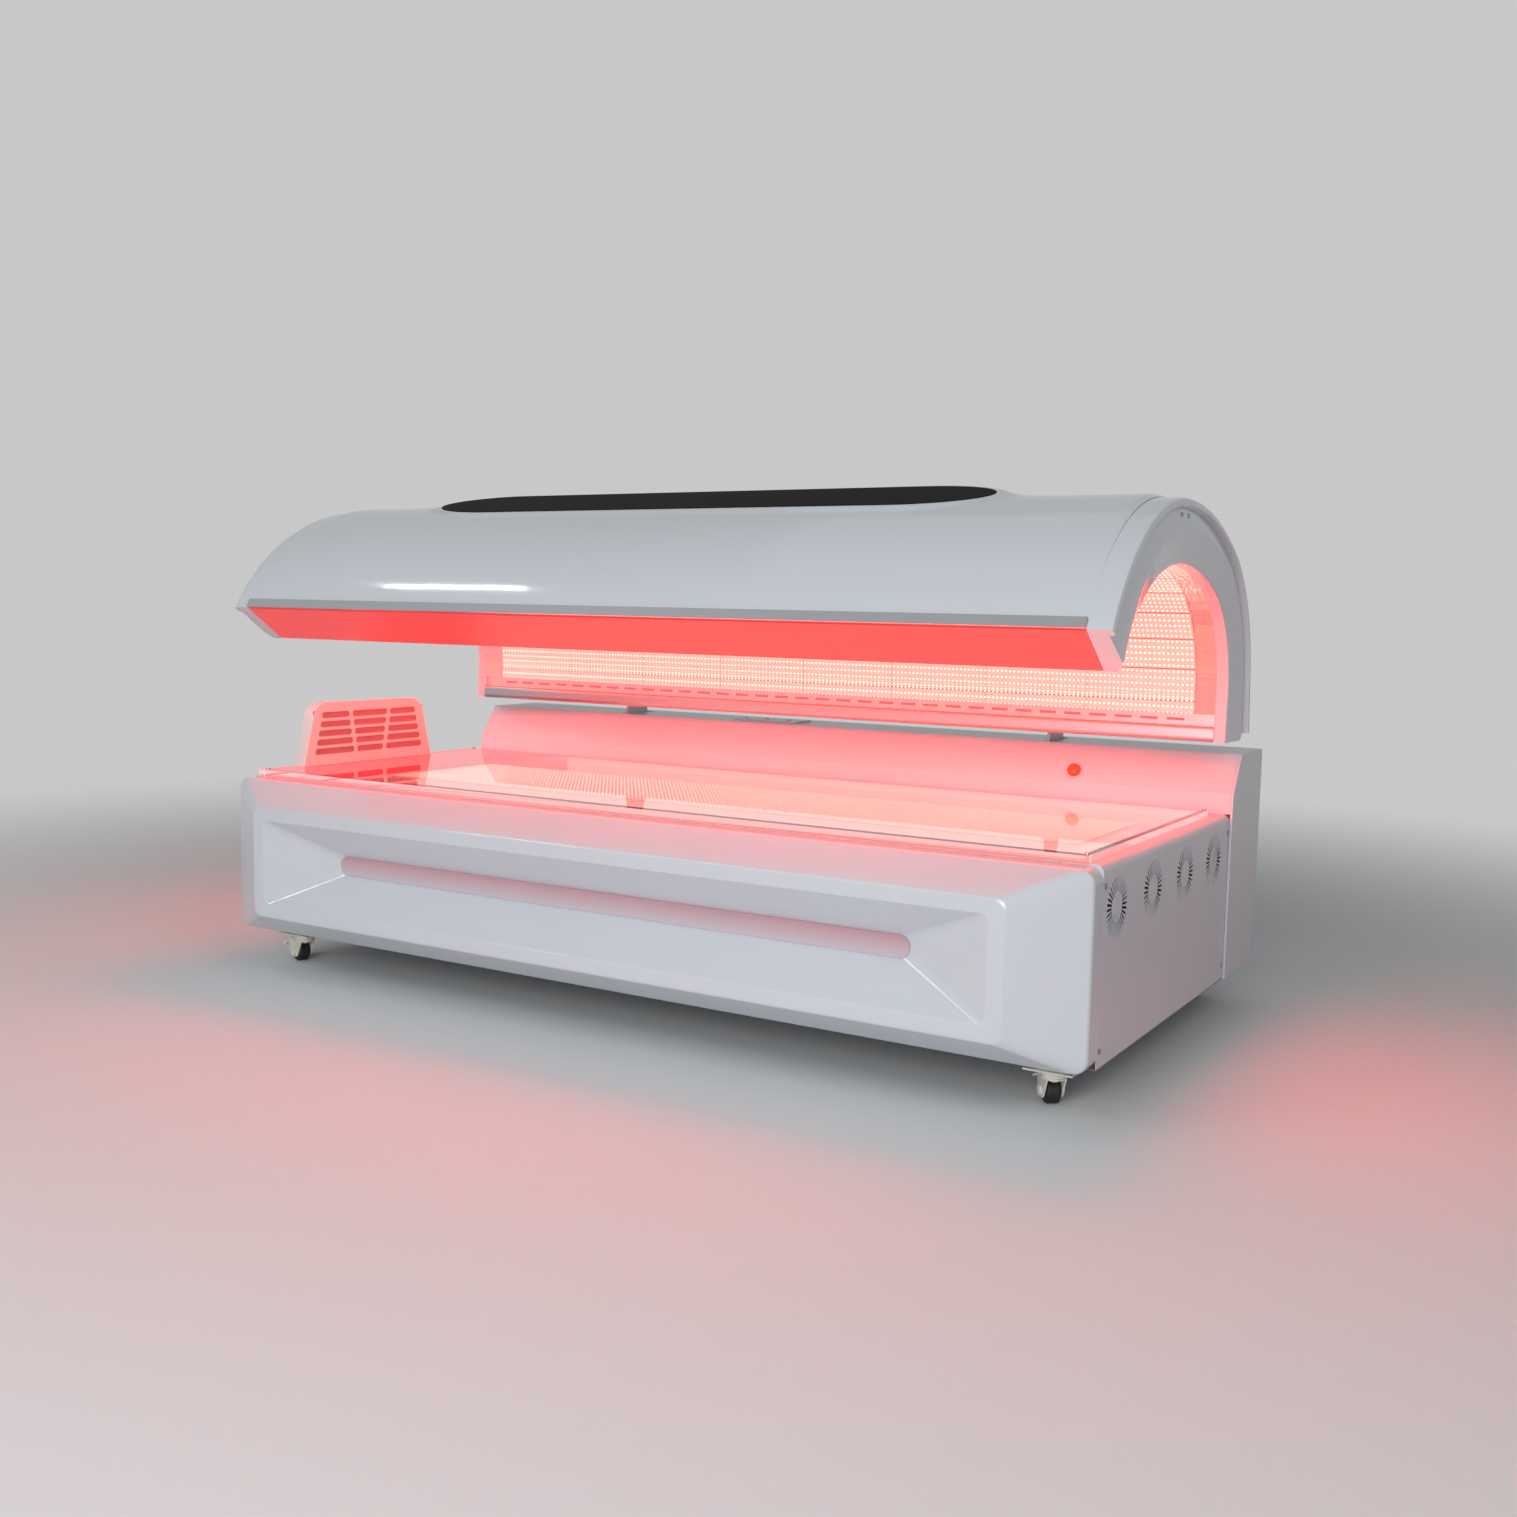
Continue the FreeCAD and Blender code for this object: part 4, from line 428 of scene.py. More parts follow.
# nodes whose look differs from the rest of their slot
ownLook = {
    "canopy_acrylic": glowPaintedAcrylic, "bed_led_tray": makeTrayWithPaintedLight(),
    # front rail: its red glow and the pink of its base colour are painted red light from the deck's lamps
    "canopy_front_rail": makeBrushedMetal("lacquered_aluminium_painted_red_light", "#806a68", "#765f5d", 0.35, 2.0, 0.25,
                                          (0.7, 0.02, 0.022, 1.0)),
    "canopy_front_trim": makeBrushedMetal("satin_anodised_trim", "#c4c6ca", "#b6b8bd", 0.16, 2.0, 0.9)}
print("materials made:", len(bpy.data.materials))


def lookOf(node):
    return ownLook.get(node, finish[slotOf[node]])


for name, node in nodes.items():
    for materialSlot in node.material_slots:
        materialSlot.material = lookOf(name)


# Canopy shell: one edge spun along the three arcs of its profile

canopyArch = {
    "start": (-0.51738, 0.90053), "apex": (-0.1025, 1.140),
    "crown": (0.790, 26), "shoulder": (0.335, 84), "foot": 0.650}


def archArcs(arch):
    # centre, turn and radius of the front, crown and shoulder arcs, in the order they are spun
    run = arch["apex"][0] - arch["start"][0]
    rise = arch["apex"][1] - arch["start"][1]
    frontRadius = (run * run + rise * rise) / (2 * rise)
    crownRadius, crownTurn = arch["crown"]
    shoulderRadius, shoulderTurn = arch["shoulder"]
    turn = math.radians(crownTurn)
    crownMid = Vector((0, arch["apex"][0], arch["apex"][1] - crownRadius))
    shoulderMid = crownMid + (crownRadius - shoulderRadius) * Vector((0, math.sin(turn), math.cos(turn)))
    frontMid = Vector((0, arch["apex"][0], arch["apex"][1] - frontRadius))
    return [(frontMid, 2 * math.atan2(rise, run), frontRadius), (crownMid, turn, crownRadius),
            (shoulderMid, math.radians(shoulderTurn - crownTurn), shoulderRadius)]


def dropToFoot(piece, arch, foot):
    # straight on from the shoulder's end, down to the foot
    end = [v.co.copy() for v in bmesh.from_edit_mesh(piece.data).verts if v.select][0]
    lean = math.tan(math.radians(arch["shoulder"][1]))
    return {"value": (0, (end.z - foot) / lean, foot - end.z)}


display = {
    "middle": (0.0, -0.1825, 1.1425), "tilt": 16.0, "flat": 0.530, "end": 0.200, "halfWidth": 0.088,
    "thick": 0.006, "edge": 0.0012, "sharpFrom": 60, "roundPoints": 64}
mound = {
    "rim": 0.014, "deep": 0.105, "front": 0.0525, "back": 0.1575, "ends": 0.231, "blend": 0.007,
    "softFrom": 0.02, "sink": 0.0015, "deepest": 6.0, "halvings": 24, "backLimit": 0.2, "reach": 4}
shellForm = {
    "halfLength": 1.0503, "wall": 0.005, "grid": 0.010, "rollWide": 0.026, "rollDrop": 0.0068, "endCuts": 1}


def moundDepth(x, v):
    # how far below the display's plane the mound lies at a place on that plane
    low, high = 0.0, mound["deepest"]
    for step in range(mound["halvings"]):
        depth = (low + high) / 2
        halfWidth = display["halfWidth"] + mound["rim"] + depth * (mound["front"] + mound["back"]) / 2
        end = display["end"] + mound["rim"] + depth * mound["ends"]
        across = (v - depth * (mound["back"] - mound["front"]) / 2) / halfWidth
        along = max(0.0, abs(x) - display["flat"]) / end
        if across * across + along * along > 1.0:
            low = depth
        else:
            high = depth
    return high * mound["deep"]


def raiseMound(piece):
    tilt = math.radians(display["tilt"])
    up = Vector((0, -math.sin(tilt), math.cos(tilt)))
    uphill = Vector((0, math.cos(tilt), math.sin(tilt)))
    middle = Vector(display["middle"])
    for vertex in piece.data.vertices:
        place = vertex.co - middle
        depth = moundDepth(vertex.co.x, place.dot(uphill))
        gap = -depth - mound["sink"] - place.dot(up)
        # flat under the glass, then a soft maximum, so the flank runs out into the shell
        soft = mound["blend"] * min(1.0, depth / mound["softFrom"])
        if vertex.co.y < mound["backLimit"] and gap > -mound["reach"] * mound["blend"]:
            vertex.co += up * (gap + math.sqrt(gap * gap + soft * soft)) / 2


def rollShellEnds(piece):
    # both ends roll down to the caps, most over the crown and not at all at the trim
    startZ, apexZ = canopyArch["start"][1], canopyArch["apex"][1]
    for vertex in piece.data.vertices:
        along = (abs(vertex.co.x) - shellForm["halfLength"]) / shellForm["rollWide"] + 1.0
        if along > 0:
            front = (vertex.co.z - startZ) / (apexZ - startZ)
            share = vertex.normal.z if vertex.co.y > canopyArch["apex"][0] else min(1.0, front)
            vertex.co -= vertex.normal * shellForm["rollDrop"] * along * along * max(0.0, share)


def makeShell():
    half = shellForm["halfLength"]
    startY, startZ = canopyArch["start"]
    deselectAll()
    bpy.ops.mesh.primitive_plane_add(size=2 * half, location=(0, startY + half, startZ))
    shell = bpy.context.object
    shell.name = "canopyShell"
    activate(shell)
    bpy.ops.object.transform_apply()
    editPiece(shell, "VERT")
    pick(shell, "VERT", lambda co: co.y > startY + half)
    bpy.ops.mesh.delete(type="VERT")
    bpy.ops.mesh.select_all(action="SELECT")
    for middle, turn, radius in archArcs(canopyArch):
        steps = math.ceil(radius * turn / shellForm["grid"])
        bpy.ops.mesh.spin(steps=steps, angle=turn, center=middle, axis=(1, 0, 0))
    drop = dropToFoot(shell, canopyArch, canopyArch["foot"])
    bpy.ops.mesh.extrude_edges_move(TRANSFORM_OT_translate=drop)
    bpy.ops.mesh.select_all(action="SELECT")
    bpy.ops.mesh.remove_doubles(threshold=weld)
    pick(shell, "EDGE", lambda a, b: abs(a.x - b.x) > half)
    bpy.ops.mesh.subdivide(number_cuts=round(2 * half / shellForm["grid"]))
    # finer columns at the ends, where they roll down
    rollStart = half - shellForm["rollWide"]
    pick(shell, "EDGE", lambda a, b: abs(a.x - b.x) > hair and max(abs(a.x), abs(b.x)) > rollStart)
    bpy.ops.mesh.subdivide(number_cuts=shellForm["endCuts"])
    bpy.ops.mesh.select_all(action="SELECT")
    bpy.ops.mesh.normals_make_consistent(inside=False)
    deselectAll()
    raiseMound(shell)
    shell.data.update()
    rollShellEnds(shell)
    finishWith(shell, "SOLIDIFY", thickness=shellForm["wall"], offset=-1)
    return settle(shell, "canopy", finish["gloss_white"], ["canopy_shell"], 50)


shell = makeShell()
print("shell made:", len(shell.data.polygons), "faces")


# Canopy end caps: rails traced along the arches and bridged

capArch = dict(canopyArch, apex=(-0.1025, 1.132))
lipArch = {
    "start": (-0.4305, 0.828), "apex": (-0.0575, 1.068), "crown": (0.661, 25), "shoulder": (0.291, 93)}
innerArch = {
    "start": (-0.4235, 0.806), "apex": (-0.0575, 1.007), "crown": (0.600, 25), "shoulder": (0.230, 93)}
capForm = {
    "corner": (-0.5275, 0.881), "tip": (-0.4235, 0.806), "outerFoot": 0.650, "innerFoot": 0.630,
    "arcSteps": (26, 14, 22), "lipTip": 0.106, "footNear": 0.0005, "tipNear": 0.0002}
# under the shell's rolled end the cap starts a little higher
tuckedArch = dict(capArch, apex=(-0.1025, 1.1325))
joinArch = dict(capArch, apex=(-0.1025, 1.1330))
# each rail: its arch, how far in from that arch, its place along the length
capRails = [
    (tuckedArch, 0.0, 1.0502), (joinArch, 0.0, 1.0560), (capArch, 0.0, 1.0670), (capArch, 0.0, 1.0890),
    (capArch, 0.0029, 1.0961), (capArch, 0.0095, 1.0990), (capArch, 0.0150, 1.0982),
    (capArch, 0.0185, 1.0940), (capArch, 0.0195, 1.0866), (capArch, 0.0235, 1.0878),
    (lipArch, -0.0120, 1.0902), (lipArch, -0.0030, 1.0900), (lipArch, 0.0010, 1.0875),
    (innerArch, -0.0040, 1.0775), (innerArch, 0.0, 1.0740), (innerArch, 0.0, 1.0502)]


def traceRail(piece, arch, inset, x):
    # a run of points from the tip up over the arch and down to the foot
    corner, tip = Vector((x, *capForm["corner"])), Vector((x, *capForm["tip"]))
    outlineLength = (tip - corner).length
    run = inset
    if arch in (lipArch, innerArch):
        run += capForm["lipTip"] if arch is lipArch else outlineLength
    first = corner + (tip - corner) * run / outlineLength
    arcs = archArcs(arch)
    start = Vector((x, *arch["start"]))
    start += (Vector((x, arcs[0][0].y, arcs[0][0].z)) - start).normalized() * inset
    bpy.ops.mesh.select_all(action="DESELECT")
    bpy.ops.mesh.primitive_plane_add(size=dot, location=first)
    bpy.ops.mesh.merge(type="CENTER")
    bpy.ops.mesh.extrude_vertices_move(TRANSFORM_OT_translate={"value": start - first})
    for (middle, turn, radius), steps in zip(arcs, capForm["arcSteps"]):
        bpy.ops.mesh.spin(steps=steps, angle=turn, center=(x, middle.y, middle.z), axis=(1, 0, 0))
    share = run / outlineLength
    foot = capForm["outerFoot"] + (capForm["innerFoot"] - capForm["outerFoot"]) * share
    bpy.ops.mesh.extrude_vertices_move(TRANSFORM_OT_translate=dropToFoot(piece, arch, foot))


def pickRails(piece, first, second, count):
    # the edges of two rails, by the order they were traced in
    bpy.ops.mesh.select_all(action="DESELECT")
    mesh = bmesh.from_edit_mesh(piece.data)
    mesh.verts.index_update()
    for edge in mesh.edges:
        a, b = (vertex.index // count for vertex in edge.verts)
        edge.select_set(a == b and a in (first, second))
    bmesh.update_edit_mesh(piece.data)


def onTip(co):
    # on the slanting face between the front corner and the tip
    (cornerY, cornerZ), (tipY, tipZ) = capForm["corner"], capForm["tip"]
    along = Vector((tipY - cornerY, tipZ - cornerZ)).normalized()
    across = Vector((co.y - cornerY, co.z - cornerZ)).dot(Vector((-along.y, along.x)))
    return abs(across) < capForm["tipNear"] and co.y < tipY + hair


def makeRightCap():
    cap = startEmpty("canopyRightCap")
    for arch, inset, x in capRails:
        traceRail(cap, arch, inset, x)
    count = len(bmesh.from_edit_mesh(cap.data).verts) // len(capRails)
    bpy.ops.mesh.select_mode(type="EDGE")
    for rail in range(len(capRails)):
        pickRails(cap, rail, (rail + 1) % len(capRails), count)
        bpy.ops.mesh.bridge_edge_loops()
    for isEnd in (lambda co: co.z < capForm["outerFoot"] + capForm["footNear"], onTip):
        pick(cap, "VERT", isEnd)
        bpy.ops.mesh.edge_face_add()
    bpy.ops.mesh.select_all(action="SELECT")
    bpy.ops.mesh.remove_doubles(threshold=weld)
    bpy.ops.mesh.normals_make_consistent(inside=False)
    deselectAll()
    return cap


def mirrored(piece, name):
    # the same piece for the other end, turned right side out again
    copy = piece.copy()
    copy.data = piece.data.copy()
    copy.name = name
    bpy.context.scene.collection.objects.link(copy)
    copy.scale = (-1, 1, 1)
    activate(copy)
    bpy.ops.object.transform_apply()
    editPiece(copy)
    bpy.ops.mesh.select_all(action="SELECT")
    bpy.ops.mesh.normals_make_consistent(inside=False)
    deselectAll()
    return copy


rightCap = makeRightCap()
leftCap = mirrored(rightCap, "canopyLeftCap")
settle(rightCap, "canopy", finish["gloss_white"], ["canopy_right_cap"], 40, True)
settle(leftCap, "canopy", finish["gloss_white"], ["canopy_left_cap"], 40, True)
print("caps made:", len(rightCap.data.polygons), "faces each")


# Display: a long pill of black glass let into the mound

def makeDisplay():
    deselectAll()
    bpy.ops.mesh.primitive_circle_add(vertices=display["roundPoints"], radius=1.0, fill_type="NGON",
                                      rotation=(0, 0, math.pi / display["roundPoints"]))
    glass = bpy.context.object
    glass.name = "displayGlass"
    bpy.ops.object.transform_apply()
    glass.scale = (display["end"], display["halfWidth"], 1)
    bpy.ops.object.transform_apply()
    editPiece(glass, "VERT")
    for side in (-1, 1):
        pick(glass, "VERT", lambda co: co.x * side > 0)
        bpy.ops.transform.translate(value=(side * display["flat"], 0, 0))
    deselectAll()
    finishWith(glass, "SOLIDIFY", thickness=display["thick"], offset=-1)
    finishWith(glass, "BEVEL", width=display["edge"], segments=3, limit_method="ANGLE",
               angle_limit=math.radians(display["sharpFrom"]))
    glass.rotation_euler = (math.radians(display["tilt"]), 0, 0)
    glass.location = display["middle"]
    return settle(glass, "canopy", finish["black_glass"], ["display_glass"], 40, True)


makeDisplay()
print("display made")


# Front panel: rounded rings from the wrap to the light's slot, bridged into one skin

panel = {
    "rimIn": 0.135, "rimUp": 0.052, "rimDown": 0.055, "rimWidth": 0.030, "rimLean": 0.001, "depth": 0.076,
    "slotHalf": 0.737, "slotLow": 0.263, "slotHigh": 0.307, "wall": 0.004, "edge": 0.005,
    "recessEdge": 0.0022, "cornerSteps": 7, "baseRound": 0.028, "rimRound": 0.022, "recessRound": 0.016,
    "slotRound": 0.0215}


def addRing(piece, depth, half, low, high, radius):
    # in edit mode, a rounded rectangle of edges that faces the front
    bpy.ops.mesh.select_all(action="DESELECT")
    middle = (0, depth, (low + high) / 2)
    bpy.ops.mesh.primitive_plane_add(size=2.0, location=middle, rotation=(math.pi / 2, 0, 0))
    bpy.ops.transform.resize(value=(half, 1, (high - low) / 2), center_override=middle)
    bpy.ops.mesh.bevel(offset=radius, segments=panel["cornerSteps"], affect="VERTICES")
    pick(piece, "FACE", lambda mid, normal: True)
    bpy.ops.mesh.delete(type="ONLY_FACE")
    bpy.ops.mesh.select_mode(type="VERT")


def panelRings():
    # depth, half length, low, high and corner radius of each ring, from the wrap inwards
    low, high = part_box("front_panel")
    outline = low.y + panel["depth"]
    rimHalf, rimLow, rimHigh = high.x - panel["rimIn"], low.z + panel["rimUp"], high.z - panel["rimDown"]
    width = panel["rimWidth"]
    return [
        (high.y, high.x, low.z, high.z, panel["baseRound"]),
        (outline, high.x, low.z, high.z, panel["baseRound"]),
        (low.y, rimHalf, rimLow, rimHigh, panel["rimRound"]),
        (low.y + panel["rimLean"], rimHalf - width, rimLow + width, rimHigh - width, panel["recessRound"]),
        (outline, panel["slotHalf"], panel["slotLow"], panel["slotHigh"], panel["slotRound"])]


def ringAt(co, rings):
    # the number of the ring that a point lies on, inner ones first
    near = 0.0001
    for number in reversed(range(len(rings))):
        depth, half, low, high, radius = rings[number]
        if abs(co.y - depth) < near and abs(co.x) < half + near and low - near < co.z < high + near:
            return number


def makeFrontPanel():
    rings = panelRings()
    piece = startEmpty("frontPanel")

    def pickRings(numbers):
        # the edges that lie along these rings
        pick(piece, "EDGE", lambda a, b: ringAt(a, rings) == ringAt(b, rings) and ringAt(a, rings) in numbers)

    for ring in rings:
        addRing(piece, *ring)
    for first in range(len(rings) - 1):
        pickRings((first, first + 1))
        bpy.ops.mesh.bridge_edge_loops()
    # soften the outline and both edges of the rim, the inner one least
    for softened, width in (((1, 2), panel["edge"]), ((3,), panel["recessEdge"])):
        pickRings(softened)
        bpy.ops.mesh.bevel(offset=width, segments=4, affect="EDGES")
    bpy.ops.mesh.select_all(action="SELECT")
    bpy.ops.mesh.normals_make_consistent(inside=False)
    deselectAll()
    finishWith(piece, "SOLIDIFY", thickness=panel["wall"], offset=-1)
    return settle(piece, "base", finish["gloss_white"], ["front_panel"], 35, True)


frontPanel = makeFrontPanel()
print("front panel made:", len(frontPanel.data.polygons), "faces")


# LED chips: one lens arrayed over a board, then copied to every board

ledForm = {
    "size": 0.0036, "top": 0.0026, "high": 0.0012, "pitch": 0.0105, "row": 0.0142, "rows": 5, "margin": 0.006,
    "leastBoard": 0.02, "level": 0.1}


def boardFaces(node, inward):
    # the span across and up of each board's lamp side, with its normal
    faces = {}
    for polygon in nodes[node].data.polygons:
        normal = polygon.normal
        large = abs(normal.x) < ledForm["level"] and polygon.area > ledForm["leastBoard"]
        if large and inward(polygon.center, normal):
            corners = [nodes[node].data.vertices[i].co for i in polygon.vertices]
            across, up = [c.y for c in corners], [c.z for c in corners]
            span = tuple(round(v, 3) for v in (min(across), max(across), min(up), max(up)))
            faces[span] = normal.copy()
    return faces


def layOnBoard(piece, board, normal):
    # from flat at the origin to the middle of a board's lamp side
    piece.rotation_euler = (math.atan2(-normal.y, normal.z), 0, 0)
    piece.location = (0, (board[0] + board[1]) / 2, (board[2] + board[3]) / 2)


def joined(pieces, name):
    deselectAll()
    for piece in pieces:
        piece.select_set(True)
    bpy.context.view_layer.objects.active = pieces[0]
    bpy.ops.object.transform_apply()
    bpy.ops.object.join()
    bpy.context.object.name = name
    return bpy.context.object


def facesTunnel(middle, normal):
    return normal.dot(tunnelMiddle - Vector((0, middle.y, middle.z))) > 0


def makeLamps(name, node, body, inward):
    low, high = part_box(node)
    count = int((high.x - low.x - 2 * ledForm["margin"]) / ledForm["pitch"]) + 1
    span = (count - 1) * ledForm["pitch"]
    start = Vector(((low.x + high.x - span) / 2, -(ledForm["rows"] - 1) / 2 * ledForm["row"], 0))
    half = ledForm["size"] / 2
    corner = Vector((half, half, 0))
    chip = startCube("chip", start - corner, start + corner + Vector((0, 0, ledForm["high"])))
    editPiece(chip)
    pick(chip, "FACE", lambda mid, normal: normal.z > levelFace)
    shrink = ledForm["top"] / ledForm["size"]
    bpy.ops.transform.resize(value=(shrink, shrink, 1), center_override=start)
    deselectAll()
    for across, times in (((ledForm["pitch"], 0, 0), count), ((0, ledForm["row"], 0), ledForm["rows"])):
        finishWith(chip, "ARRAY", count=times, use_relative_offset=False, use_constant_offset=True,
                   constant_offset_displace=across)
    lamps = []
    for board, normal in sorted(boardFaces(node, inward).items()):
        copy = chip.copy()
        copy.data = chip.data.copy()
        bpy.context.scene.collection.objects.link(copy)
        layOnBoard(copy, board, normal)
        lamps.append(copy)
    bpy.data.objects.remove(chip)
    piece = joined(lamps, name)
    print(name, len(lamps), "boards,", len(piece.data.polygons), "faces")
    return settle(piece, body, ledLens, (), 20)


makeLamps("deckLamps", "bed_led_boards", "base", lambda mid, normal: normal.z > levelFace)
makeLamps("canopyLamps", "canopy_led_boards", "canopy", facesTunnel)


# Seams: a strip of dark tape where two boards of the canopy meet

boardSeam = {"wide": 0.0026, "high": 0.0007}


def makeSeams(node, body, inward):
    low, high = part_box(node)
    halfWide = boardSeam["wide"] / 2
    strips = []
    for board, normal in sorted(boardFaces(node, inward).items()):
        half = math.hypot(board[1] - board[0], board[3] - board[2]) / 2
        strip = startCube("strip", (low.x, half - halfWide, 0), (high.x, half + halfWide, boardSeam["high"]))
        layOnBoard(strip, board, normal)
        strips.append(strip)
    piece = joined(strips, "canopySeams")
    tape = makeMoulded("red_joint_tape", "#7a3a34", "#6e322c", 0.6, 3.0)
    print("canopy seams:", len(strips))
    return settle(piece, body, tape)


makeSeams("canopy_led_boards", "canopy", facesTunnel)


# Side panels: the sheet is thin at its vent slots, so they read dark from an angle

sidePanel = {"sheet": 0.0012}


def makeSidePanel(node, name):
    low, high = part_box(node)
    outer = max(abs(low.x), abs(high.x))
    side = 1 if high.x > 0 else -1
    inner = min(abs(low.x), abs(high.x))
    piece = mergedCopy(node, name)
    editPiece(piece, "VERT")
    pick(piece, "VERT", lambda co: abs(co.x) < inner + hair)
    bpy.ops.transform.translate(value=(side * (outer - inner - sidePanel["sheet"]), 0, 0))
    deselectAll()
    return settle(piece, "base", finish[slotOf[node]], [node], 30)


makeSidePanel("right_side_panel", "rightSidePanel")
makeSidePanel("left_side_panel", "leftSidePanel")


# Front trim: a drawn section with a groove under the shell, a bead and a lip

trimForm = {
    "top": canopyArch["start"], "bottom": capForm["corner"],
    # each point of the section: how far down its face, how deep, in mm
    "section": [
        (0.0, 5.0), (0.0, 2.8), (1.6, 2.8), (2.0, 1.9), (3.0, 1.0), (4.5, 0.35), (6.5, 0.0), (9.0, 0.3),
        (11.0, 1.0), (12.6, 2.2), (13.4, 3.4), (14.6, 3.4), (15.2, 2.4), (16.2, 1.1), (17.6, 0.3),
        (19.2, 0.0), (20.6, 0.4), (21.6, 1.4), (22.0, 2.4), (22.0, 5.0)]}


def makeTrim():
    node = "canopy_front_trim"
    low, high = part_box(node)
    top, bottom = Vector((low.x, *trimForm["top"])), Vector((low.x, *trimForm["bottom"]))
    down = (bottom - top).normalized()
    inwards = down.cross(Vector((1, 0, 0)))
    places = [top + down * along / 1000 + inwards * deep / 1000 for along, deep in trimForm["section"]]
    piece = startEmpty("canopyTrim")
    bpy.ops.mesh.primitive_plane_add(size=dot, location=places[0])
    bpy.ops.mesh.merge(type="CENTER")
    for first, second in zip(places, places[1:]):
        bpy.ops.mesh.extrude_vertices_move(TRANSFORM_OT_translate={"value": second - first})
    bpy.ops.mesh.select_all(action="SELECT")
    bpy.ops.mesh.edge_face_add()
    bpy.ops.mesh.extrude_region_move(TRANSFORM_OT_translate={"value": (high.x - low.x, 0, 0)})
    bpy.ops.mesh.select_all(action="SELECT")
    bpy.ops.mesh.normals_make_consistent(inside=False)
    deselectAll()
    print("trim made:", len(piece.data.polygons), "faces")
    return settle(piece, "canopy", lookOf(node), [node], 40)


makeTrim()


# CAD pieces that only need their edges broken

softened = {
    "canopy_front_rail": 0.001, "canopy_rear_rail": 0.001, "deck_frame": 0.0015, "bed_acrylic": 0.0015,
    "face_fan_housing": 0.001, "column_front_cover": 0.0015, "column_top_cover": 0.0015,
    "column_end_panels": 0.0012, "front_light_diffuser": 0.0008, "stop_button": 0.0008,
    "stop_button_collar": 0.0005, "hinge_arms": 0.001}
for name, edge in softened.items():
    softCopy(name, "soft_" + name, edge)
print("softened pieces made:", len(softened))


# Dust filter: a cloth let into the housing's front slots, ahead of the face fans

dustFilter = {
    "middle": -0.1555, "half": 0.194, "low": 0.507, "high": 0.623, "behind": 0.0017, "thick": 0.0007}


def makeFilter():
    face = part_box("face_fan_housing")[1].x - dustFilter["behind"]
    middle, half = dustFilter["middle"], dustFilter["half"]
    piece = startCube("fanFilter", (face - dustFilter["thick"], middle - half, dustFilter["low"]),
                      (face, middle + half, dustFilter["high"]))
    cloth = makeMoulded("grey_filter_cloth", "#8c8688", "#746e70", 0.85, 1.2)
    return settle(piece, "base", cloth)


makeFilter()


# Shade strip: a black strip let into the slots of the rear rail's ledge, as painted shade inside them

paintedSlotShade = {"half": 1.04, "front": 0.3403, "back": 0.3413, "low": 0.672, "high": 0.682}


def makePaintedSlotShade():
    # a black strip that paints the shade inside the ledge's slots
    piece = startCube("paintedSlotShade", (-paintedSlotShade["half"], paintedSlotShade["front"], paintedSlotShade["low"]),
                      (paintedSlotShade["half"], paintedSlotShade["back"], paintedSlotShade["high"]))
    return settle(piece, "canopy", finish["black_plastic"])


makePaintedSlotShade()
print("filter and shade strip made")


# Studio: pale floor, grey surround, soft boxes

studio = {
    "ambient": 0.16, "level": 0.58, "floor": "#e6e9eb", "fadeFrom": 1.6, "fadeTo": 5.0, "reach": 40.0,
    "boxes": [
        {"place": (1.3, -4.8, 1.4), "aim": (0, 0, 0.7), "size": (2.8, 2.0), "power": 112.0},
        {"place": (-2.6, -4.6, 3.6), "aim": (0, 0, 0.7), "size": (2.6, 1.8), "power": 32.0},
        {"place": (-3.2, -3.5, 2.65), "aim": (0, 0, 0.4), "size": (0.7, 0.35), "power": 9.0},
        {"place": (-2.42, -1.2, 3.0), "aim": (-2.42, 0, 0.7), "size": (0.75, 0.11), "power": 5.0},
        {"place": (3.6, -2.0, 3.0), "aim": (0, 0, 0.7), "size": (2.0, 2.0), "power": 24.0},
        {"place": (0.0, 0.5, 4.0), "aim": (0, 0, 0.7), "size": (3.0, 3.0), "power": 5.0}]}


def surroundLevel(tree):
    # what the eye, gloss and glass meet far off is lighter than what lights the bed
    rays = addNode(tree, "ShaderNodeLightPath")
    seen = addNode(tree, "ShaderNodeMath", {"operation": "MAXIMUM"}, None,
                   {0: rays.outputs["Is Camera Ray"], 1: rays.outputs["Is Glossy Ray"]})
    seen = addNode(tree, "ShaderNodeMath", {"operation": "MAXIMUM"}, None,
                   {0: seen.outputs["Value"], 1: rays.outputs["Is Transmission Ray"]})
    return spread(tree, seen.outputs["Value"], studio["ambient"], studio["level"])


def makeStudio():
    world = bpy.data.worlds.new("studio")
    bpy.context.scene.world = world
    world.use_nodes = True
    tree = world.node_tree
    background = tree.nodes["Background"]
    background.inputs["Color"].default_value = (1, 1, 1, 1)
    tree.links.new(surroundLevel(tree), background.inputs["Strength"])
    for number, box in enumerate(studio["boxes"]):
        deselectAll()
        bpy.ops.object.light_add(type="AREA", location=box["place"])
        lamp = bpy.context.object
        lamp.name = "softBox%d" % (number + 1)
        lamp.data.shape = "RECTANGLE"
        lamp.data.size, lamp.data.size_y = box["size"]
        lamp.data.energy = box["power"]
        aim = Vector(box["aim"]) - Vector(box["place"])
        lamp.rotation_euler = aim.to_track_quat("-Z", "Y").to_euler()


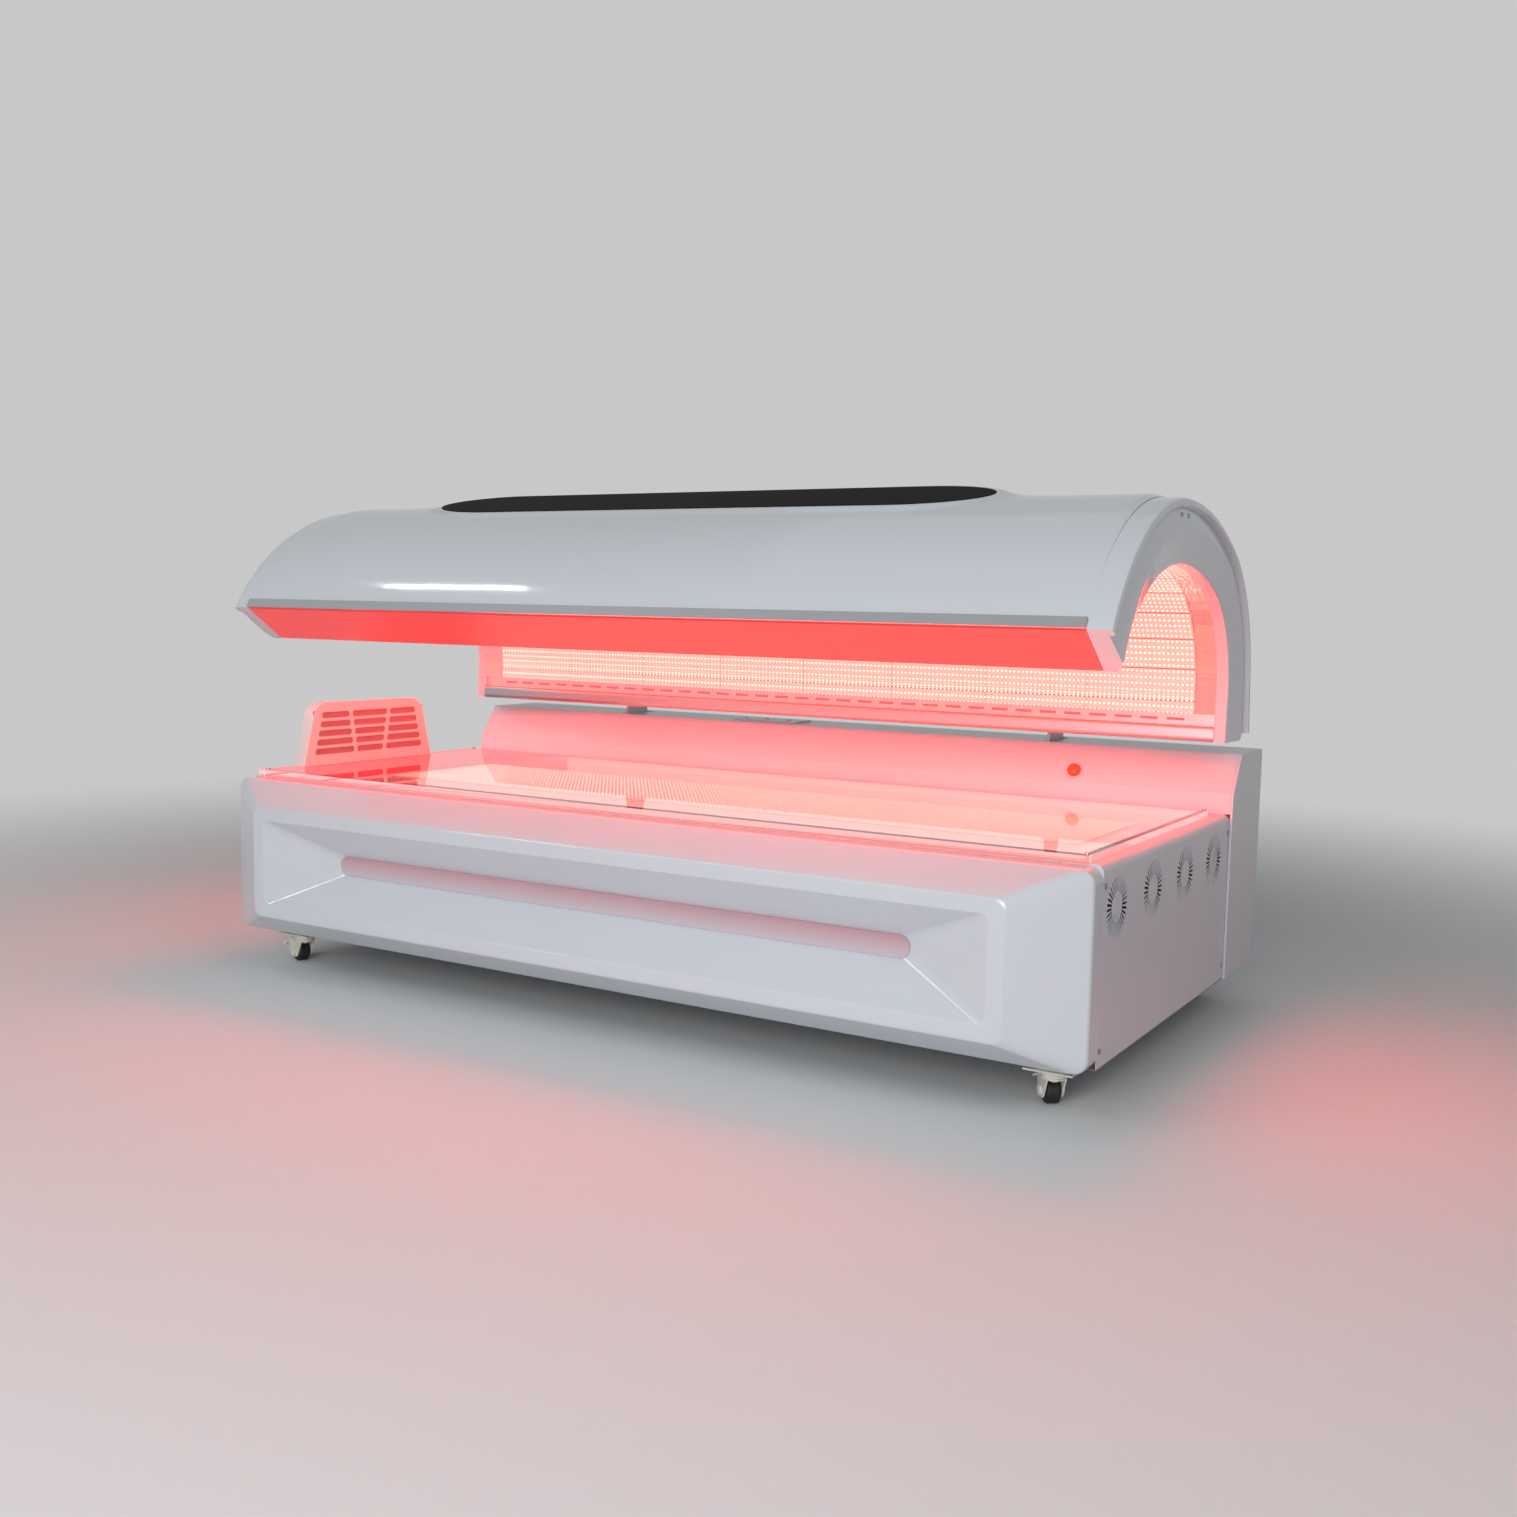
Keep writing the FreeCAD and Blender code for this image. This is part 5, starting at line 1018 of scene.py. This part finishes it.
def makeFloor():
    # pale sweep under the bed, fading into the surround further out
    deselectAll()
    bpy.ops.mesh.primitive_plane_add(size=2 * studio["reach"])
    floor = bpy.context.object
    floor.name = "studioFloor"
    material, tree, shader, place = startMaterial("pale_floor_paper", {
        "Base Color": linear(studio["floor"]), "Roughness": 0.9})
    far = addNode(tree, "ShaderNodeVectorMath", {"operation": "LENGTH"}, None, {0: place})
    fade = addNode(tree, "ShaderNodeMapRange", {"interpolation_type": "SMOOTHSTEP"},
                   {"From Min": studio["fadeFrom"], "From Max": studio["fadeTo"]},
                   {"Value": far.outputs["Value"]})
    plain = addNode(tree, "ShaderNodeEmission", None, None, {"Strength": surroundLevel(tree)})
    mix = addNode(tree, "ShaderNodeMixShader", None, None, {
        0: fade.outputs["Result"], 1: shader.outputs["BSDF"], 2: plain.outputs["Emission"]})
    tree.links.new(mix.outputs["Shader"], tree.nodes["Material Output"].inputs["Surface"])
    floor.data.materials.append(material)


view = {"place": (1.9525, -3.0845, 0.9118), "yaw": 31.264, "pitch": 5.680, "roll": 1.131,
        "focalPixels": 1545.65, "framePixels": 1517, "sensor": 36.0}


def makeCamera():
    # turned left of straight ahead, a little down and a little to the side
    yaw, pitch, roll = (math.radians(view[k]) for k in ("yaw", "pitch", "roll"))
    ahead = Vector((-math.sin(yaw) * math.cos(pitch), math.cos(yaw) * math.cos(pitch), -math.sin(pitch)))
    right = Vector((math.cos(yaw), math.sin(yaw), 0))
    up = right.cross(ahead)
    side = math.cos(roll) * right + math.sin(roll) * up
    top = math.cos(roll) * up - math.sin(roll) * right
    bpy.ops.object.camera_add()
    camera = bpy.context.object
    turn = Matrix((side, top, -ahead)).transposed().to_4x4()
    camera.matrix_world = Matrix.Translation(view["place"]) @ turn
    camera.data.sensor_width = view["sensor"]
    camera.data.lens = view["focalPixels"] / view["framePixels"] * view["sensor"]
    bpy.context.scene.camera = camera


makeStudio()
makeFloor()
makeCamera()
bpy.context.scene.view_settings.view_transform = "Standard"
print("studio ready")
